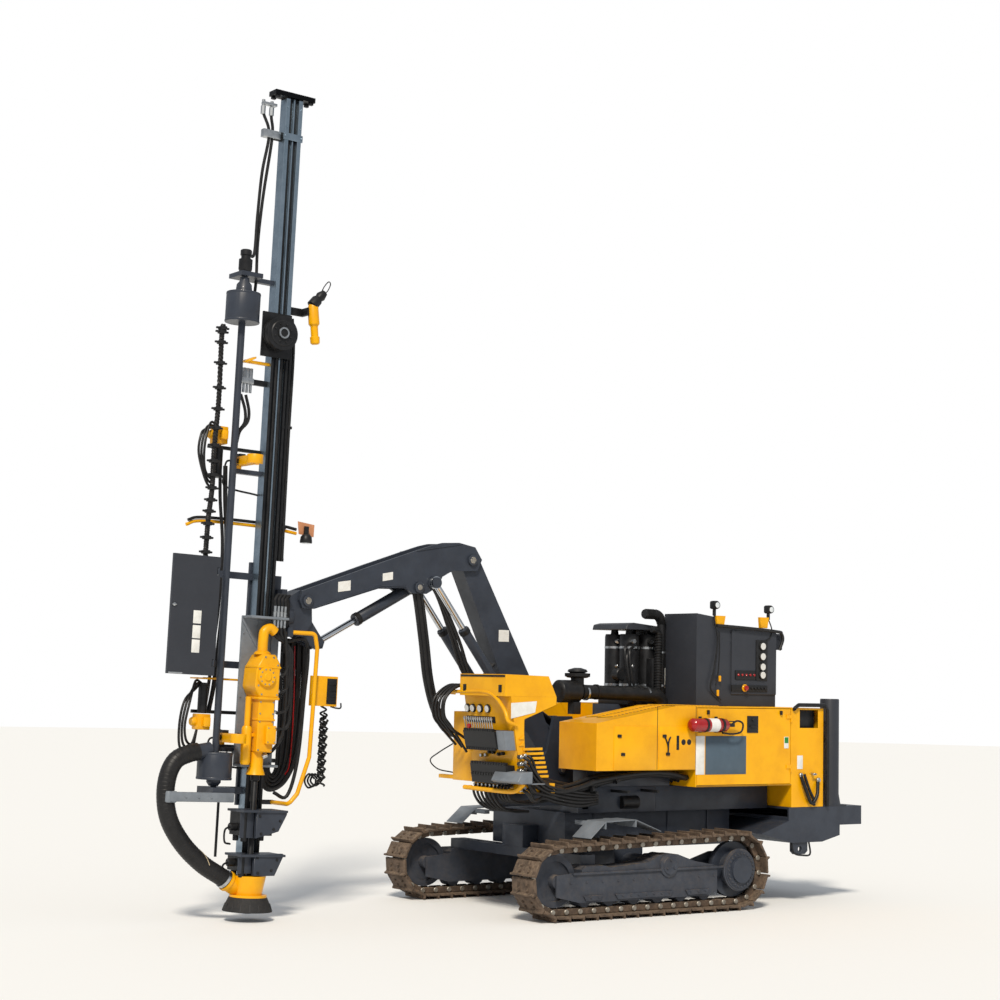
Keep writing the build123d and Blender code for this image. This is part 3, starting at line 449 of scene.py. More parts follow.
# %% Shoes, links and pins
# (distance along the shoe, height) of the rolled shoe profile, in millimetres
SHOE_PROFILE = ((4, 0), (PITCH - 4, 0), (PITCH - 4, 12), (PITCH - 14, 20), (27, 20), (19, 48), (6, 48),
                (4, 20))
LINK_PROFILE = ((-18, -44), (10, -57), (PITCH - 26, -57), (PITCH - 12, -44), (PITCH - 12, -18),
                (PITCH - 30, -3), (8, -3), (-18, -18))
for side_name, side in (("left", 1), ("right", -1)):
    middle = side * TRACK_MIDDLE

    def shoes(mesh):
        for number in range(SHOES):
            start = number * PITCH
            sheet(mesh, [on_track(start + s, h, middle - SHOE_HALF) for s, h in SHOE_PROFILE],
                  (0, 2 * SHOE_HALF, 0), edge=2.5)
            for row in (28, 74):
                for across_mm in (-62, 62):
                    low = on_track(start + row + 18, 20, middle + across_mm)
                    bolt(mesh, low, on_track(start + row + 18, 60, middle + across_mm) - low, 15)

    def links(mesh):
        for number in range(SHOES):
            start = number * PITCH
            for near in (-74, 46):
                sheet(mesh, [on_track(start + s, h, middle + near) for s, h in LINK_PROFILE], (0, 28, 0),
                      edge=3)

    def pins(mesh):
        for number in range(SHOES):
            centre = on_track(number * PITCH - 2, -30, middle)
            bar(mesh, centre - Vector((0, 84, 0)), centre + Vector((0, 84, 0)), 18, edge=3)
            for near in (-90, 74):
                bar(mesh, centre + Vector((0, near, 0)), centre + Vector((0, near + 16, 0)), 25, edge=4)

    made = piece(f"{side_name}_track_shoes", shoes, SHOE_STEEL, "carrier")
    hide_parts(f"{side_name}_track")
    piece(f"{side_name}_track_links", links, SHOE_STEEL, "carrier")
    piece(f"{side_name}_track_pins", pins, ZINC_DULL, "carrier")

# %% [markdown]
# Hubs and caps are read by their bolts. The final drive has a ring of them round its flange, and the
# walking pivot has three on its cap.

# %% Hubs, pivot caps and the track's guards
def hub_bolts(mesh):
    for side in (1, -1):
        face = side * (TRACK_MIDDLE + 150)
        turned(mesh, (DRIVE.x, side * (TRACK_MIDDLE + 112), DRIVE.y), (DRIVE.x, face - side * 6, DRIVE.y),
               ((0, 196), (0.6, 196), (0.75, 182), (1, 182)), 40)
        for number in range(24):
            angle = 2 * pi * number / 24
            bolt(mesh, (DRIVE.x + 152 * cos(angle), face, DRIVE.y + 152 * sin(angle)), (0, side, 0), 13)
        cap = side * (TRACK_MIDDLE + 122)
        turned(mesh, (-928, cap - side * 14, 443), (-928, cap + side * 22, 443),
               ((0, 104), (0.5, 104), (0.7, 84), (1, 78)), 36)
        for number in range(3):
            angle = radians(90 + 120 * number)
            bolt(mesh, (-928 + 48 * cos(angle), cap + side * 22, 443 + 48 * sin(angle)), (0, side, 0), 14)


piece("hub_and_pivot_bolts", hub_bolts, FRAME_GREY, "carrier")

# %% Guard strips on the track frames
def track_guards(mesh):
    for side in (1, -1):
        near, far = sorted((side * (TRACK_MIDDLE + 111), side * (TRACK_MIDDLE + 123)))
        for back, front in ((-1420, -1130), (-980, -300), (-160, 60)):
            sheet(mesh, [(back, near, 215), (back + 30, near, 168), (front - 30, near, 168),
                         (front, near, 215)], (0, far - near, 0), 2)
            for x in range(int(back) + 50, int(front) - 30, 90):
                bolt(mesh, (x, side * (TRACK_MIDDLE + 123), 196), (0, side, 0), 11)
        outer = sorted((side * (TRACK_MIDDLE + 110), side * (TRACK_MIDDLE + 128)))
        box(mesh, -1600, 180, outer[0], outer[1], 398, 418, 4)
        for x in (-1480, -1300, -700, -520, -340, -160, 20, 200):
            bolt(mesh, (x, side * (TRACK_MIDDLE + 110), 330), (0, side, 0), 12)


piece("track_guard_strips", track_guards, FRAME_GREY, "carrier")

# %% Fenders
def fenders(mesh):
    for side in (1, -1):
        near, far = sorted((side * 862, side * 1130))
        line = ((-21, 706), (-189, 848), (-537, 858), (-836, 748))
        for (x0, z0), (x1, z1) in zip(line, line[1:]):
            sheet(mesh, [(x0, near, z0), (x1, near, z1), (x1, near, z1 + 7), (x0, near, z0 + 7)],
                  (0, far - near, 0), 1.5)
        for x, z in ((-189, 848), (-537, 858)):
            sheet(mesh, [(x - 6, near, z), (x + 6, near, z), (x + 6, near, z - 60), (x - 6, near, z - 60)],
                  (0, far - near, 0), 1.5)
        inner = sorted((side * 700, side * 870))
        box(mesh, -560, -500, inner[0], inner[1], 812, 852, 4)
        box(mesh, -230, -170, inner[0], inner[1], 805, 845, 4)


piece("track_fenders", fenders, GREY_STEEL, "carrier")

# %% [markdown]
# The chassis is a welded box with a subframe on it. Its blocks come from one table of limits, and the
# pivot shaft that carries both track frames crosses it low down.

# %% The chassis weldment
# (back, front, right, left, low, high) of the chassis and the subframe on it
CHASSIS_BLOCKS = (
    (-2190, -170, -560, 560, 560, 900), (-170, 10, -160, 160, 560, 760), (-1098, -758, -560, 560, 313, 560),
    (-2560, -1130, -700, 700, 900, 1135), (-1130, -210, 120, 700, 900, 1135),
    (-1300, -300, 500, 700, 1135, 1294.7),
    (-1350, -1150, -980, -680, 1040, 1135), (-1350, -700, -980, -860, 1040, 1294.7),
    (-1350, -1140, -280, 100, 1135, 1885), (-210, 560, 320, 480, 960, 1104.7),
)


def chassis(mesh):
    for limits in CHASSIS_BLOCKS:
        box(mesh, *limits, 4)
    bar(mesh, (-928, -1098, 443), (-928, 1098, 443), 72, 40, 3)
    for left in (-560, 560):
        for x in (-1900, -1400, -500):
            box(mesh, x - 10, x + 10, *sorted((left, left + left / 56)), 570, 890, 3)


made = piece("chassis_weldment", chassis, CHARCOAL, "carrier")
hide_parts("chassis")

# %% [markdown]
# The engine housing is sheet metal, so its look is in its seams, hinges, handles and punched louvres.
# Everything here stands a few millimetres off the sheet that carries it.

# %% Housing: plates, seams and louvres
SHEET_FACE = 1000.0


def flat_on_side(mesh, back, front, low, high, thick=3.0, face=SHEET_FACE, edge=1.2, side=1):
    """A thin plate that lies on a side of the housing."""
    near, far = sorted((side * (face - 1), side * (face + thick)))
    box(mesh, back, front, near, far, low, high, edge)


def seams(mesh):
    for side in (1, -1):
        for x in (-885, -1356):
            if side > 0 or x < -885:
                flat_on_side(mesh, x - 3, x + 3, 1300, 1880, 1.4, side=side)
        flat_on_side(mesh, -2590, -1362, 1138, 1143, 1.4, side=side)
    for x in (-1100, -1740, -2170):
        box(mesh, x - 2, x + 2, -995, 995, 1884, 1886.4, 0.5)


piece("panel_seams", seams, BLACK_STEEL, "carrier")

# %% [markdown]
# Louvres are slots pressed into the deck, each a raised lip with the slot's shade painted in front of it as a
# thin dark strip. The deck falls towards the front, so its height and its fall are worked out at each slot.

# %% Louvres in the deck
DECK_TOP = 1885.0
DECK_BEND = -1120.0
DECK_FALL = (DECK_TOP - 1722.0) / 950.0


def deck_height(x):
    """The deck's top surface: level at the rear, then falling to the front."""
    return DECK_TOP if x < DECK_BEND else DECK_TOP - (x - DECK_BEND) * DECK_FALL


def deck_rise(x):
    """How much the deck's top rises per millimetre forward."""
    return 0.0 if x < DECK_BEND else -DECK_FALL


def louvre_places():
    """Where each louvre starts: its rear edge, its row and the deck's height there."""
    for back, front, rows in ((-1060, -400, (520, 690)), (-1620, -1180, (470, 640, 810))):
        for row in rows:
            for x in range(back, front, 44):
                yield x, row, deck_height(x)


def louvre_lips(mesh):
    for x, row, z in louvre_places():
        sheet(mesh, [(x, row, z - 1), (x + 14, row, z - 3), (x + 12, row, z + 7)],
              (-70, 140, -70 * deck_rise(x)), 0.6)


piece("deck_louvre_lips", louvre_lips, YELLOW, "carrier")


# Each slot's shade is painted: a thin dark strip laid on the deck in front of its lip.
def louvre_shade_strips(mesh):
    for x, row, z in louvre_places():
        rise = deck_rise(x)
        sheet(mesh, [(x + 14, row, z + 0.8 + 14 * rise), (x + 32, row, z + 0.8 + 32 * rise),
                     (x - 38, row + 140, z + 0.8 - 38 * rise), (x - 56, row + 140, z + 0.8 - 56 * rise)],
              (0, 0, 1.6), 0.3)


piece("deck_louvre_painted_shade", louvre_shade_strips, BLACK_STEEL, "carrier")

# %% Frames, catches and door fittings
def panel_frames(mesh):
    for x0, x1 in ((-867, -370), (-1350, -903)):
        flat_on_side(mesh, x0, x1, 1303, 1697, 5, edge=3)


piece("side_panel_frames", panel_frames, YELLOW, "carrier")


def black_fittings(mesh):
    for x in (-1200, -1269):
        bar(mesh, (x, SHEET_FACE - 2, 1552), (x, SHEET_FACE + 8, 1552), 27, 28, 3)
    flat_on_side(mesh, -1146, -1114, 1480, 1612, 8, edge=5)
    for x, z in ((-965, 1608), (-1009, 1443), (-430, 1608), (-474, 1443)):
        flat_on_side(mesh, x - 22, x + 22, z - 14, z + 14, 16, edge=5)
    tube(mesh, [(-965, 1006, 1608), (-990, 1012, 1560), (-1009, 1012, 1500), (-1009, 1006, 1443)], 7, 8)
    tube(mesh, [(-1040, 1006, 1600), (-1015, 1012, 1560), (-1009, 1012, 1500)], 7, 8)
    for x in (-1420, -2530):
        box(mesh, x - 30, x + 30, 300, 420, 1884, 1899, 5)


piece("housing_black_fittings", black_fittings, BLACK_PLASTIC, "carrier")


def door_fittings(side):
    def draw(mesh):
        flat_on_side(mesh, -2144, -2002, 1638, 1798, 6, edge=8, side=side)
        near, far = sorted((side * 1004, side * 1024))
        box(mesh, -2120, -2030, near, far, 1690, 1712, 6)
        bar(mesh, (-2073, side * 1004, 1760), (-2073, side * 1020, 1760), 15, edge=3)
        for x in (-1500, -2440):
            flat_on_side(mesh, x - 12, x + 12, 1810, 1850, 22, edge=5, side=side)
    return draw


piece("left_door_fittings", door_fittings(1), BLACK_PLASTIC, "left_door")
piece("right_door_fittings", door_fittings(-1), BLACK_PLASTIC, "right_door")

# %% Blank plates and a sticker
def blank_signs(mesh):
    flat_on_side(mesh, -1991, -1476, 1250, 1608, 3.5)


piece("blank_sign_plate", blank_signs, SLATE_VINYL, "left_door")


def white_strips(mesh):
    flat_on_side(mesh, -1464, -1356, 1250, 1608, 3.5)
    flat_on_side(mesh, -2548, -2490, 1490, 1600, 3)


piece("blank_white_plates", white_strips, WHITE_VINYL, "left_door")


def rear_box_plate(mesh):
    flat_on_side(mesh, -2740, -2666, 1290, 1420, 3)


piece("rear_box_blank_plate", rear_box_plate, WHITE_VINYL, "carrier")


def green_sticker(mesh):
    flat_on_side(mesh, -2544, -2494, 1540, 1596, 4.5)


piece("green_sticker", green_sticker, GREEN_VINYL, "left_door")

# %% [markdown]
# A fire extinguisher lies on the door in its cradle, with two straps and a short hose. Red enamel with a
# clear coat gives the one saturated accent on this side.

# %% Fire extinguisher
def extinguisher(mesh):
    start, end = Vector((-1215, 1072, 1712)), Vector((-1700, 1072, 1712))
    turned(mesh, start, end, ((0, 20), (0.02, 44), (0.07, 62), (0.9, 62), (0.97, 40), (1, 22)), 32)


piece("extinguisher_bottle", extinguisher, RED, "left_door")


def extinguisher_black(mesh):
    for x in (-1400, -1600):
        turned(mesh, (x - 14, 1072, 1712), (x + 14, 1072, 1712), ((0, 65), (1, 65)), 32)
        box(mesh, x - 16, x + 16, 998, 1014, 1640, 1790, 3)
        box(mesh, x - 16, x + 16, 1008, 1072, 1644, 1652, 2)
    box(mesh, -1765, -1700, 1052, 1092, 1696, 1728, 6)
    box(mesh, -1800, -1710, 1062, 1082, 1742, 1752, 4)
    tube(mesh, [(-1740, 1072, 1720), (-1800, 1082, 1752), (-1868, 1086, 1726), (-1850, 1082, 1650),
                (-1740, 1078, 1630), (-1620, 1076, 1640)], 9, 10)


piece("extinguisher_fittings", extinguisher_black, BLACK_PLASTIC, "left_door")


def extinguisher_label(mesh):
    turned(mesh, (-1440, 1072, 1712), (-1550, 1072, 1712), ((0, 62.6), (1, 62.6)), 32)


piece("extinguisher_label", extinguisher_label, WHITE_VINYL, "left_door")

# %% [markdown]
# Behind the housing stand the rear box with its tubular guard, a round post and the stepped bumper.

# %% Rear end
def rear_guard(mesh):
    tube(mesh, [(-2606, 1022, 1869), (-2614, 1022, 1880), (-2660, 1022, 1908), (-3014, 1022, 1908),
                (-3051, 1022, 1862), (-3058, 1022, 1400), (-3058, 1022, 925)], 19, 12, soft=False)
    for z in (1240, 1700):
        box(mesh, -3064, -3020, 990, 1022, z, z + 30, 4)
    box(mesh, -2620, -2600, 990, 1022, 1850, 1876, 4)
    tube(mesh, [(-2706, 1010, 1232), (-2748, 1040, 1087), (-2830, 1036, 961), (-2900, 1040, 1040),
                (-2937, 1012, 1181)], 17, 12)
    tube(mesh, [(-2760, 1004, 1240), (-2800, 1030, 1100), (-2860, 1030, 1000), (-2890, 1010, 940)], 14, 12)


piece("rear_guard_tube", rear_guard, BLACK_STEEL, "carrier")


def hose_tap(mesh):
    bar(mesh, (-2937, 1000, 1181), (-2937, 1030, 1181), 24, edge=3)
    bar(mesh, (-2706, 1000, 1232), (-2706, 1024, 1232), 22, edge=3)
    bar(mesh, (-2860, 996, 1240), (-2860, 1050, 1240), 13, edge=2)
    box(mesh, -2890, -2830, 1040, 1050, 1234, 1246, 3)


piece("rear_box_hose_taps", hose_tap, ZINC, "carrier")


def bumper_wire(mesh):
    tube(mesh, [(-2624, 968, 590), (-2632, 1000, 487), (-2740, 1008, 462), (-2847, 1000, 470),
                (-2860, 968, 590)], 9, 10)


piece("bumper_wire_loop", bumper_wire, BLACK_STEEL, "carrier")

# %% The round post and the box's inside
def round_post(mesh):
    turned(mesh, (-3225, 880, 935), (-3225, 880, 1971),
           ((0, 112), (0.1, 94), (0.99, 94), (1, 90), (1, 70), (0.98, 68), (0.98, 1)), 44)
    box(mesh, -3350, -3040, 748, 996, 923, 935, 3)


made = piece("round_rear_post", round_post, CABINET, "carrier")
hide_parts("rear_post")


def rear_box_inside(mesh):
    box(mesh, -2940, -2706, 930, 950, 1680, 1866, 2)


piece("rear_box_dark_inside", rear_box_inside, BLACK_STEEL, "carrier")

# %% [markdown]
# The grey rear cabinet faces the operator walking up on the left: a column of pressure gauges, a strip of
# lamps and a row of switches with the stop button. Work lamps stand on yellow brackets.

# %% Rear cabinet
GAUGE_HEIGHTS = (2470, 2370, 2270, 2190)
WORK_LAMPS = ((-1796, 2841), (-2506, 2824))


def cabinet_black_parts(mesh):
    box(mesh, -2480, -2330, 762, 774, 2136, 2530, 5)
    box(mesh, -2322, -2060, 762, 776, 2142, 2230, 4)
    box(mesh, -2478, -2006, 762, 778, 2030, 2090, 4)
    for z in GAUGE_HEIGHTS:
        turned(mesh, (-2405, 770, z), (-2405, 792, z), ((0, 42), (0.7, 42), (1, 37)), 28)
    for x in range(-2440, -2220, 44):
        bar(mesh, (x, 776, 2060), (x, 794, 2060), 11, 12, 2)
    for x, z in WORK_LAMPS:
        box(mesh, x - 32, x + 32, 712, 790, z - 30, z + 50, 16)
        turned(mesh, (x, 786, z + 8), (x, 798, z + 8), ((0, 34), (0.5, 36), (1, 33)), 28)
        box(mesh, x - 14, x + 14, 738, 762, z - 92, z - 28, 4)
    tube(mesh, [(-1807, 776, 2655), (-2200, 790, 2640), (-2600, 786, 2618), (-2657, 780, 2600),
                (-2685, 770, 2540), (-2645, 766, 2441)], 16, 10)
    tube(mesh, [(-1796, 745, 2780), (-1790, 765, 2690), (-1826, 770, 2516), (-1778, 776, 2247),
                (-1735, 776, 2056), (-1872, 772, 1943)], 7, 8)
    tube(mesh, [(-1850, 765, 2600), (-1850, 770, 2400), (-1830, 774, 2200), (-1800, 774, 2080)], 6, 8)
    tube(mesh, [(-2506, 740, 2760), (-2540, 766, 2640), (-2520, 768, 2560), (-2470, 768, 2530)], 6, 8)


piece("rear_cabinet_controls", cabinet_black_parts, BLACK_PLASTIC, "carrier")

# %% Dials, lamps and the stop button
def cabinet_dial_faces(mesh):
    for z in GAUGE_HEIGHTS:
        turned(mesh, (-2405, 788, z), (-2405, 793, z), ((0, 34), (1, 33)), 28)


piece("rear_cabinet_dials", cabinet_dial_faces, GAUGE_FACE, "carrier")


def cabinet_yellow(mesh):
    for x, z in ((-1868, 2700), (-2441, 2704)):
        sheet(mesh, [(x - 60, 735, z + 50), (x + 60, 735, z + 50), (x + 50, 735, z - 55),
                     (x - 40, 735, z - 55)],
              (0, 34, 0), 2)
    bar(mesh, (-2175, 776, 2062), (-2175, 786, 2062), 36, 28, 2)
    box(mesh, -1862, -1838, 770, 786, 2120, 2175, 4)
    box(mesh, -1838, -1814, 770, 786, 1980, 2040, 4)


piece("rear_cabinet_yellow_parts", cabinet_yellow, YELLOW, "carrier")


def cabinet_red(mesh):
    turned(mesh, (-2175, 784, 2062), (-2175, 812, 2062),
           ((0, 14), (0.4, 14), (0.55, 25), (0.9, 24), (1, 16)), 24)
    for x in range(-2300, -2080, 52):
        bar(mesh, (x, 774, 2188), (x, 784, 2188), 12, 12, 2)


piece("rear_cabinet_red_parts", cabinet_red, RED, "carrier")


def lamp_glass(mesh):
    for x, z in WORK_LAMPS:
        turned(mesh, (x, 797, z + 8), (x, 801, z + 8), ((0, 27), (0.6, 26), (1, 20)), 24)


piece("rear_lamp_glasses", lamp_glass, LENS, "carrier")

# %% [markdown]
# Filters stand in two rows under a sheet roof. Their steel clamp bands are what shows from a distance.

# %% Filter rack
CANISTERS = [(x, y) for x in (-1490, -1270) for y in (-110, 115)]


def canisters(mesh):
    box(mesh, -1600, -1160, -220, 240, 1885, 1960, 5)
    for x, y in CANISTERS:
        turned(mesh, (x, y, 1958), (x, y, 2560), ((0, 104), (0.04, 104), (0.05, 95), (0.96, 95), (1, 88)), 36)
        turned(mesh, (x, y, 2556), (x, y, 2602), ((0, 40), (1, 34)), 24)
    box(mesh, -1580, -1575, -200, 220, 1960, 2600, 2)
    box(mesh, -1560, -1380, 240, 330, 2010, 2330, 8)


made = piece("filter_canisters", canisters, BLACK_STEEL, "carrier")
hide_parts("filter_rack")


def rack_cover(mesh):
    sheet(mesh, [(-1715, -260, 2600), (-1715, -260, 2625), (-1200, -260, 2668), (-1120, -260, 2650),
                 (-1105, -260, 2600)],
          (0, 520, 0), 6)


made = piece("rack_sheet_roof", rack_cover, CABINET, "carrier")
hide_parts("rack_roof")

# %% Clamp bands and ribbed pipes
def filter_bands(mesh):
    for x, y in CANISTERS:
        for z in (2060, 2420):
            turned(mesh, (x, y, z), (x, y, z + 22), ((0, 98), (1, 98)), 32)
            box(mesh, x - 12, x + 12, y + 92, y + 112, z + 2, z + 20, 3)
        turned(mesh, (x + 60, y + 96, 2490), (x + 60, y + 150, 2490),
               ((0, 17), (0.5, 17), (0.55, 24), (1, 24)), 6)
        bar(mesh, (x + 60, y + 96, 2250), (x + 60, y + 132, 2250), 14, 6, 2)
    for z in (2060, 2380):
        turned(mesh, (-1520, 296, z), (-1520, 296, z + 18), ((0, 46), (1, 46)), 28)
    for x in (-520, -1250):
        turned(mesh, (x, 377 if x > -700 else 391, 1988), (x - 20, 377 if x > -700 else 391, 1988),
               ((0, 70), (1, 70)), 28)


piece("filter_clamp_bands", filter_bands, ZINC, "carrier")


def filter_ribs(mesh):
    for number in range(12):
        angle = radians(7.5 * number)
        centre = Vector((-1430 - 90 * cos(angle), 296, 2665 + 90 * sin(angle)))
        ahead = Vector((sin(angle), 0, cos(angle)))
        turned(mesh, centre - ahead * 3.5, centre + ahead * 3.5, ((0, 44), (0.5, 50), (1, 44)), 28)
    for number in range(8):
        x = -1420 + number * 14
        turned(mesh, (x, 296, 2755), (x + 7, 296, 2755), ((0, 44), (0.5, 50), (1, 44)), 28)
    for number in range(22):
        z = 2010 + number * 26
        turned(mesh, (-1440, 350, z), (-1440, 350, z + 13), ((0, 34), (0.5, 40), (1, 34)), 20)
    tube(mesh, [(-1440, 350, 1900), (-1440, 350, 2300), (-1440, 350, 2560), (-1360, 350, 2610)], 34, 16)
    for y, z in ((180, 2470), (250, 2440), (210, 2400)):
        tube(mesh, [(-1210, y, z), (-1130, y + 40, z - 60), (-1140, y + 60, z - 240),
                    (-1200, y + 40, z - 420), (-1260, y, z - 480)], 13, 8)
    bar(mesh, (-1150, 60, 2170), (-1150, 150, 2170), 60, 24, 6)


piece("filter_caps_and_ribs", filter_ribs, BLACK_STEEL, "carrier")


def rack_label(mesh):
    box(mesh, -1545, -1515, 329, 333, 2050, 2240, 1)


piece("rack_blank_label", rack_label, WHITE_VINYL, "carrier")

# %% [markdown]
# The intake is a mushroom cap on a thick pipe that runs back along the housing. A cap like this is turned
# from one profile, with a gap below the rim where the air goes in.

# %% Air intake
INTAKE = (-436, 370)


def intake(mesh):
    x, y = INTAKE
    turned(mesh, (x, y, 2060), (x, y, 2220),
           ((0, 62), (0.4, 62), (0.42, 92), (0.5, 118), (0.68, 120), (0.7, 70), (0.78, 96), (0.9, 84),
            (1, 30)), 40)
    turned(mesh, (-190, y, 2000), (-450, y, 2000), ((0, 70), (0.04, 92), (0.1, 105), (0.92, 105), (1, 80)),
           40)
    tube(mesh, [(-440, y, 2000), (-800, 384, 1992), (-1200, 394, 1984), (-1360, 400, 1976),
                (-1432, 400, 1930), (-1446, 400, 1886)], 66, 28)
    box(mesh, -420, -340, y - 20, 452, 1790, 1905, 5)
    for place in (-470, -640, -1150):
        turned(mesh, (place, y + 8, 1998), (place - 26, y + 8, 1998), ((0, 72), (1, 72)), 32)


made = piece("intake_mushroom_and_pipe", intake, BLACK_STEEL, "carrier")
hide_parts("air_intake")

# %% [markdown]
# The front cabinet is where the rig is driven from outside. Its panel slants outward as it rises, so the
# panel's place is worked out from the height, and every gauge, lever and fitting stands on that plane.

# %% Front cabinet
def panel(z):
    """Where the slanted front panel stands at a height."""
    return 620 + 140 * (z - 1105) / 845


def on_panel(mesh, right, left, low, high, thick, edge=3.0):
    """A plate that lies on the slanted panel."""
    sheet(mesh, [(panel(low) - 1, right, low), (panel(high) - 1, right, high),
                 (panel(high) + thick, right, high), (panel(low) + thick, right, low)],
          (0, left - right, 0), edge)

# %% The cabinet's folded shell
CABINET_SHAPE = ((250, 1950), (250, 1880), (602, 1751), (602, 1640), (587, 1445), (502, 1300), (502, 1105),
                 (620, 1105), (760, 1950))


def cabinet_shell(mesh):
    folded(mesh, CABINET_SHAPE, 4, 250, 950)
    for right in (250, 946):
        sheet(mesh, [(x, right, z) for x, z in CABINET_SHAPE], (0, 4, 0), 1)
    box(mesh, 430, panel(1175) - 1, -100, 250, 1175, 1800, 4)
    box(mesh, 250, 520, 255, 300, 1105, 1190, 3)
    box(mesh, 250, 520, 900, 945, 1105, 1190, 3)


made = piece("front_cabinet_shell", cabinet_shell, YELLOW, "carrier")
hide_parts("front_cabinet")

# %% Gauges, levers and switches
PANEL_GAUGES = (286, 369, 480, 595)
FITTING_HEIGHTS = (1426, 1365, 1305, 1227, 1141)


def cabinet_controls(mesh):
    for y in PANEL_GAUGES:
        turned(mesh, (panel(1838) - 2, y, 1838), (panel(1838) + 20, y, 1834), ((0, 38), (0.7, 38), (1, 33)),
               28)
    on_panel(mesh, 253, 685, 1712, 1768, 6)
    on_panel(mesh, 300, 840, 1478, 1652, 8)
    for y in range(372, 810, 34):
        box(mesh, panel(1640) + 100, panel(1640) + 134, y - 13, y + 13, 1636, 1662, 4)
        box(mesh, panel(1490) + 96, panel(1490) + 128, y - 13, y + 13, 1470, 1494, 4)
    for y in range(380, 880, 40):
        box(mesh, panel(1340) + 60, panel(1340) + 104, y - 15, y + 15, 1343, 1370, 4)
        bar(mesh, (panel(1260) + 98, y, 1262), (panel(1260) + 112, y, 1260), 13, 12, 2)
    for y, z in ((560, 1452), (620, 1452), (700, 1440), (760, 1446)):
        bar(mesh, (panel(z), y, z), (panel(z) + 34, y, z), 15, 12, 3)


piece("front_cabinet_controls", cabinet_controls, BLACK_PLASTIC, "carrier")


def cabinet_dials(mesh):
    for y in PANEL_GAUGES:
        turned(mesh, (panel(1838) + 17, y, 1834.6), (panel(1838) + 21, y, 1834), ((0, 31), (1, 30)), 28)


piece("front_cabinet_dials", cabinet_dials, GAUGE_FACE, "carrier")

# %% Bright fittings
def cabinet_bright(mesh):
    for y in range(372, 810, 34):
        bar(mesh, (panel(1660) + 112, y, 1655), (panel(1660) + 128, y, 1738), 5, 8, 1)
        turned(mesh, (panel(1660) + 128, y, 1734), (panel(1660) + 133, y, 1764), ((0, 7), (0.5, 11), (1, 6)),
               12)
    for y in range(275, 690, 52):
        bar(mesh, (panel(1740) + 4, y, 1740), (panel(1740) + 9, y, 1740), 6, 10, 1)
    for z in FITTING_HEIGHTS:
        bar(mesh, (660, 948, z), (660, 1004, z), 20, 6, 3)
        bar(mesh, (660, 1004, z), (660, 1030, z - 3), 15, 12, 2)
        bar(mesh, (612, 948, z + 12), (612, 992, z + 12), 17, 6, 3)
    for y in range(300, 900, 60):
        bar(mesh, (panel(1168) + 2, y, 1160), (panel(1168) + 42, y, 1158), 14, 6, 2)
    for y, z in ((430, 1420), (500, 1424)):
        bar(mesh, (panel(z), y, z), (panel(z) + 30, y, z), 17, 6, 2)


piece("front_cabinet_bright_parts", cabinet_bright, ZINC, "carrier")

# %% Grey boxes and the rail
def cabinet_grey(mesh):
    on_panel(mesh, 823, 940, 1480, 1650, 110)
    sheet(mesh, [(640, 735, 1303), (760, 735, 1290), (800, 735, 1215), (760, 735, 1196), (640, 735, 1200)],
          (0, 400, 0), 4)
    box(mesh, 500, 640, 880, 1130, 1192, 1200, 3)


piece("front_cabinet_grey_boxes", cabinet_grey, GREY_STEEL, "carrier")


def cabinet_yellow_frame(mesh):
    tube(mesh, [(730, 60, 1968), (800, 52, 1975), (806, 300, 1983), (806, 636, 1984), (804, 800, 1934),
                (800, 927, 1822), (790, 966, 1735), (700, 966, 1700)], 17, 12)
    tube(mesh, [(700, 190, 1125), (706, 560, 1120), (706, 940, 1124), (700, 1060, 1178), (690, 1078, 1196)],
         20, 12)
    box(mesh, 640, 720, 200, 235, 1108, 1142, 5)
    box(mesh, 640, 720, 880, 915, 1108, 1142, 5)
    for row, z in enumerate(range(1240, 1500, 40)):
        sheet(mesh, [(330 + 12 * row, 949, z), (560 + 10 * row, 949, z), (560 + 10 * row, 964, z),
                     (330 + 12 * row, 955, z + 4)], (0, 0, 22), 1)
    box(mesh, 652, 742, 262, 940, 1945, 1952, 2)
    for low, high in ((1520, 1556), (1578, 1612)):
        sheet(mesh, [(612, 951, low), (664, 951, low), (612, 951, high)], (0, 10, 0), 1)
    box(mesh, 560, 610, -360, -100, 1180, 1215, 5)


piece("front_cabinet_yellow_frame", cabinet_yellow_frame, YELLOW, "carrier")

# %% Knob, label and lid trim
def cabinet_red_knob(mesh):
    turned(mesh, (panel(1640) + 122, 433, 1655), (panel(1640) + 126, 433, 1700),
           ((0, 10), (0.5, 22), (0.9, 20), (1, 8)), 20)


piece("front_cabinet_red_knob", cabinet_red_knob, RED, "carrier")


def cabinet_label(mesh):
    sheet(mesh, [(490, 951, 1812), (752, 951, 1757), (754, 951, 1893), (472, 951, 1912)], (0, 3, 0), 1)


piece("front_cabinet_blank_label", cabinet_label, WHITE_VINYL, "carrier")


def lid_trim(mesh):
    for y in (330, 870):
        box(mesh, 806, 822, y - 22, y + 22, 1985, 2050, 4)
    box(mesh, 800, 820, 262, 938, 2118, 2136, 4)


piece("lid_trim", lid_trim, BLACK_PLASTIC, "lid")

# %% [markdown]
# Hydraulic hoses are fixed plumbing here: both ends are clamped in fittings. They run from the bank of
# fittings on the cabinet into the recess below the deck, and thick supply hoses cross it to the pumps.

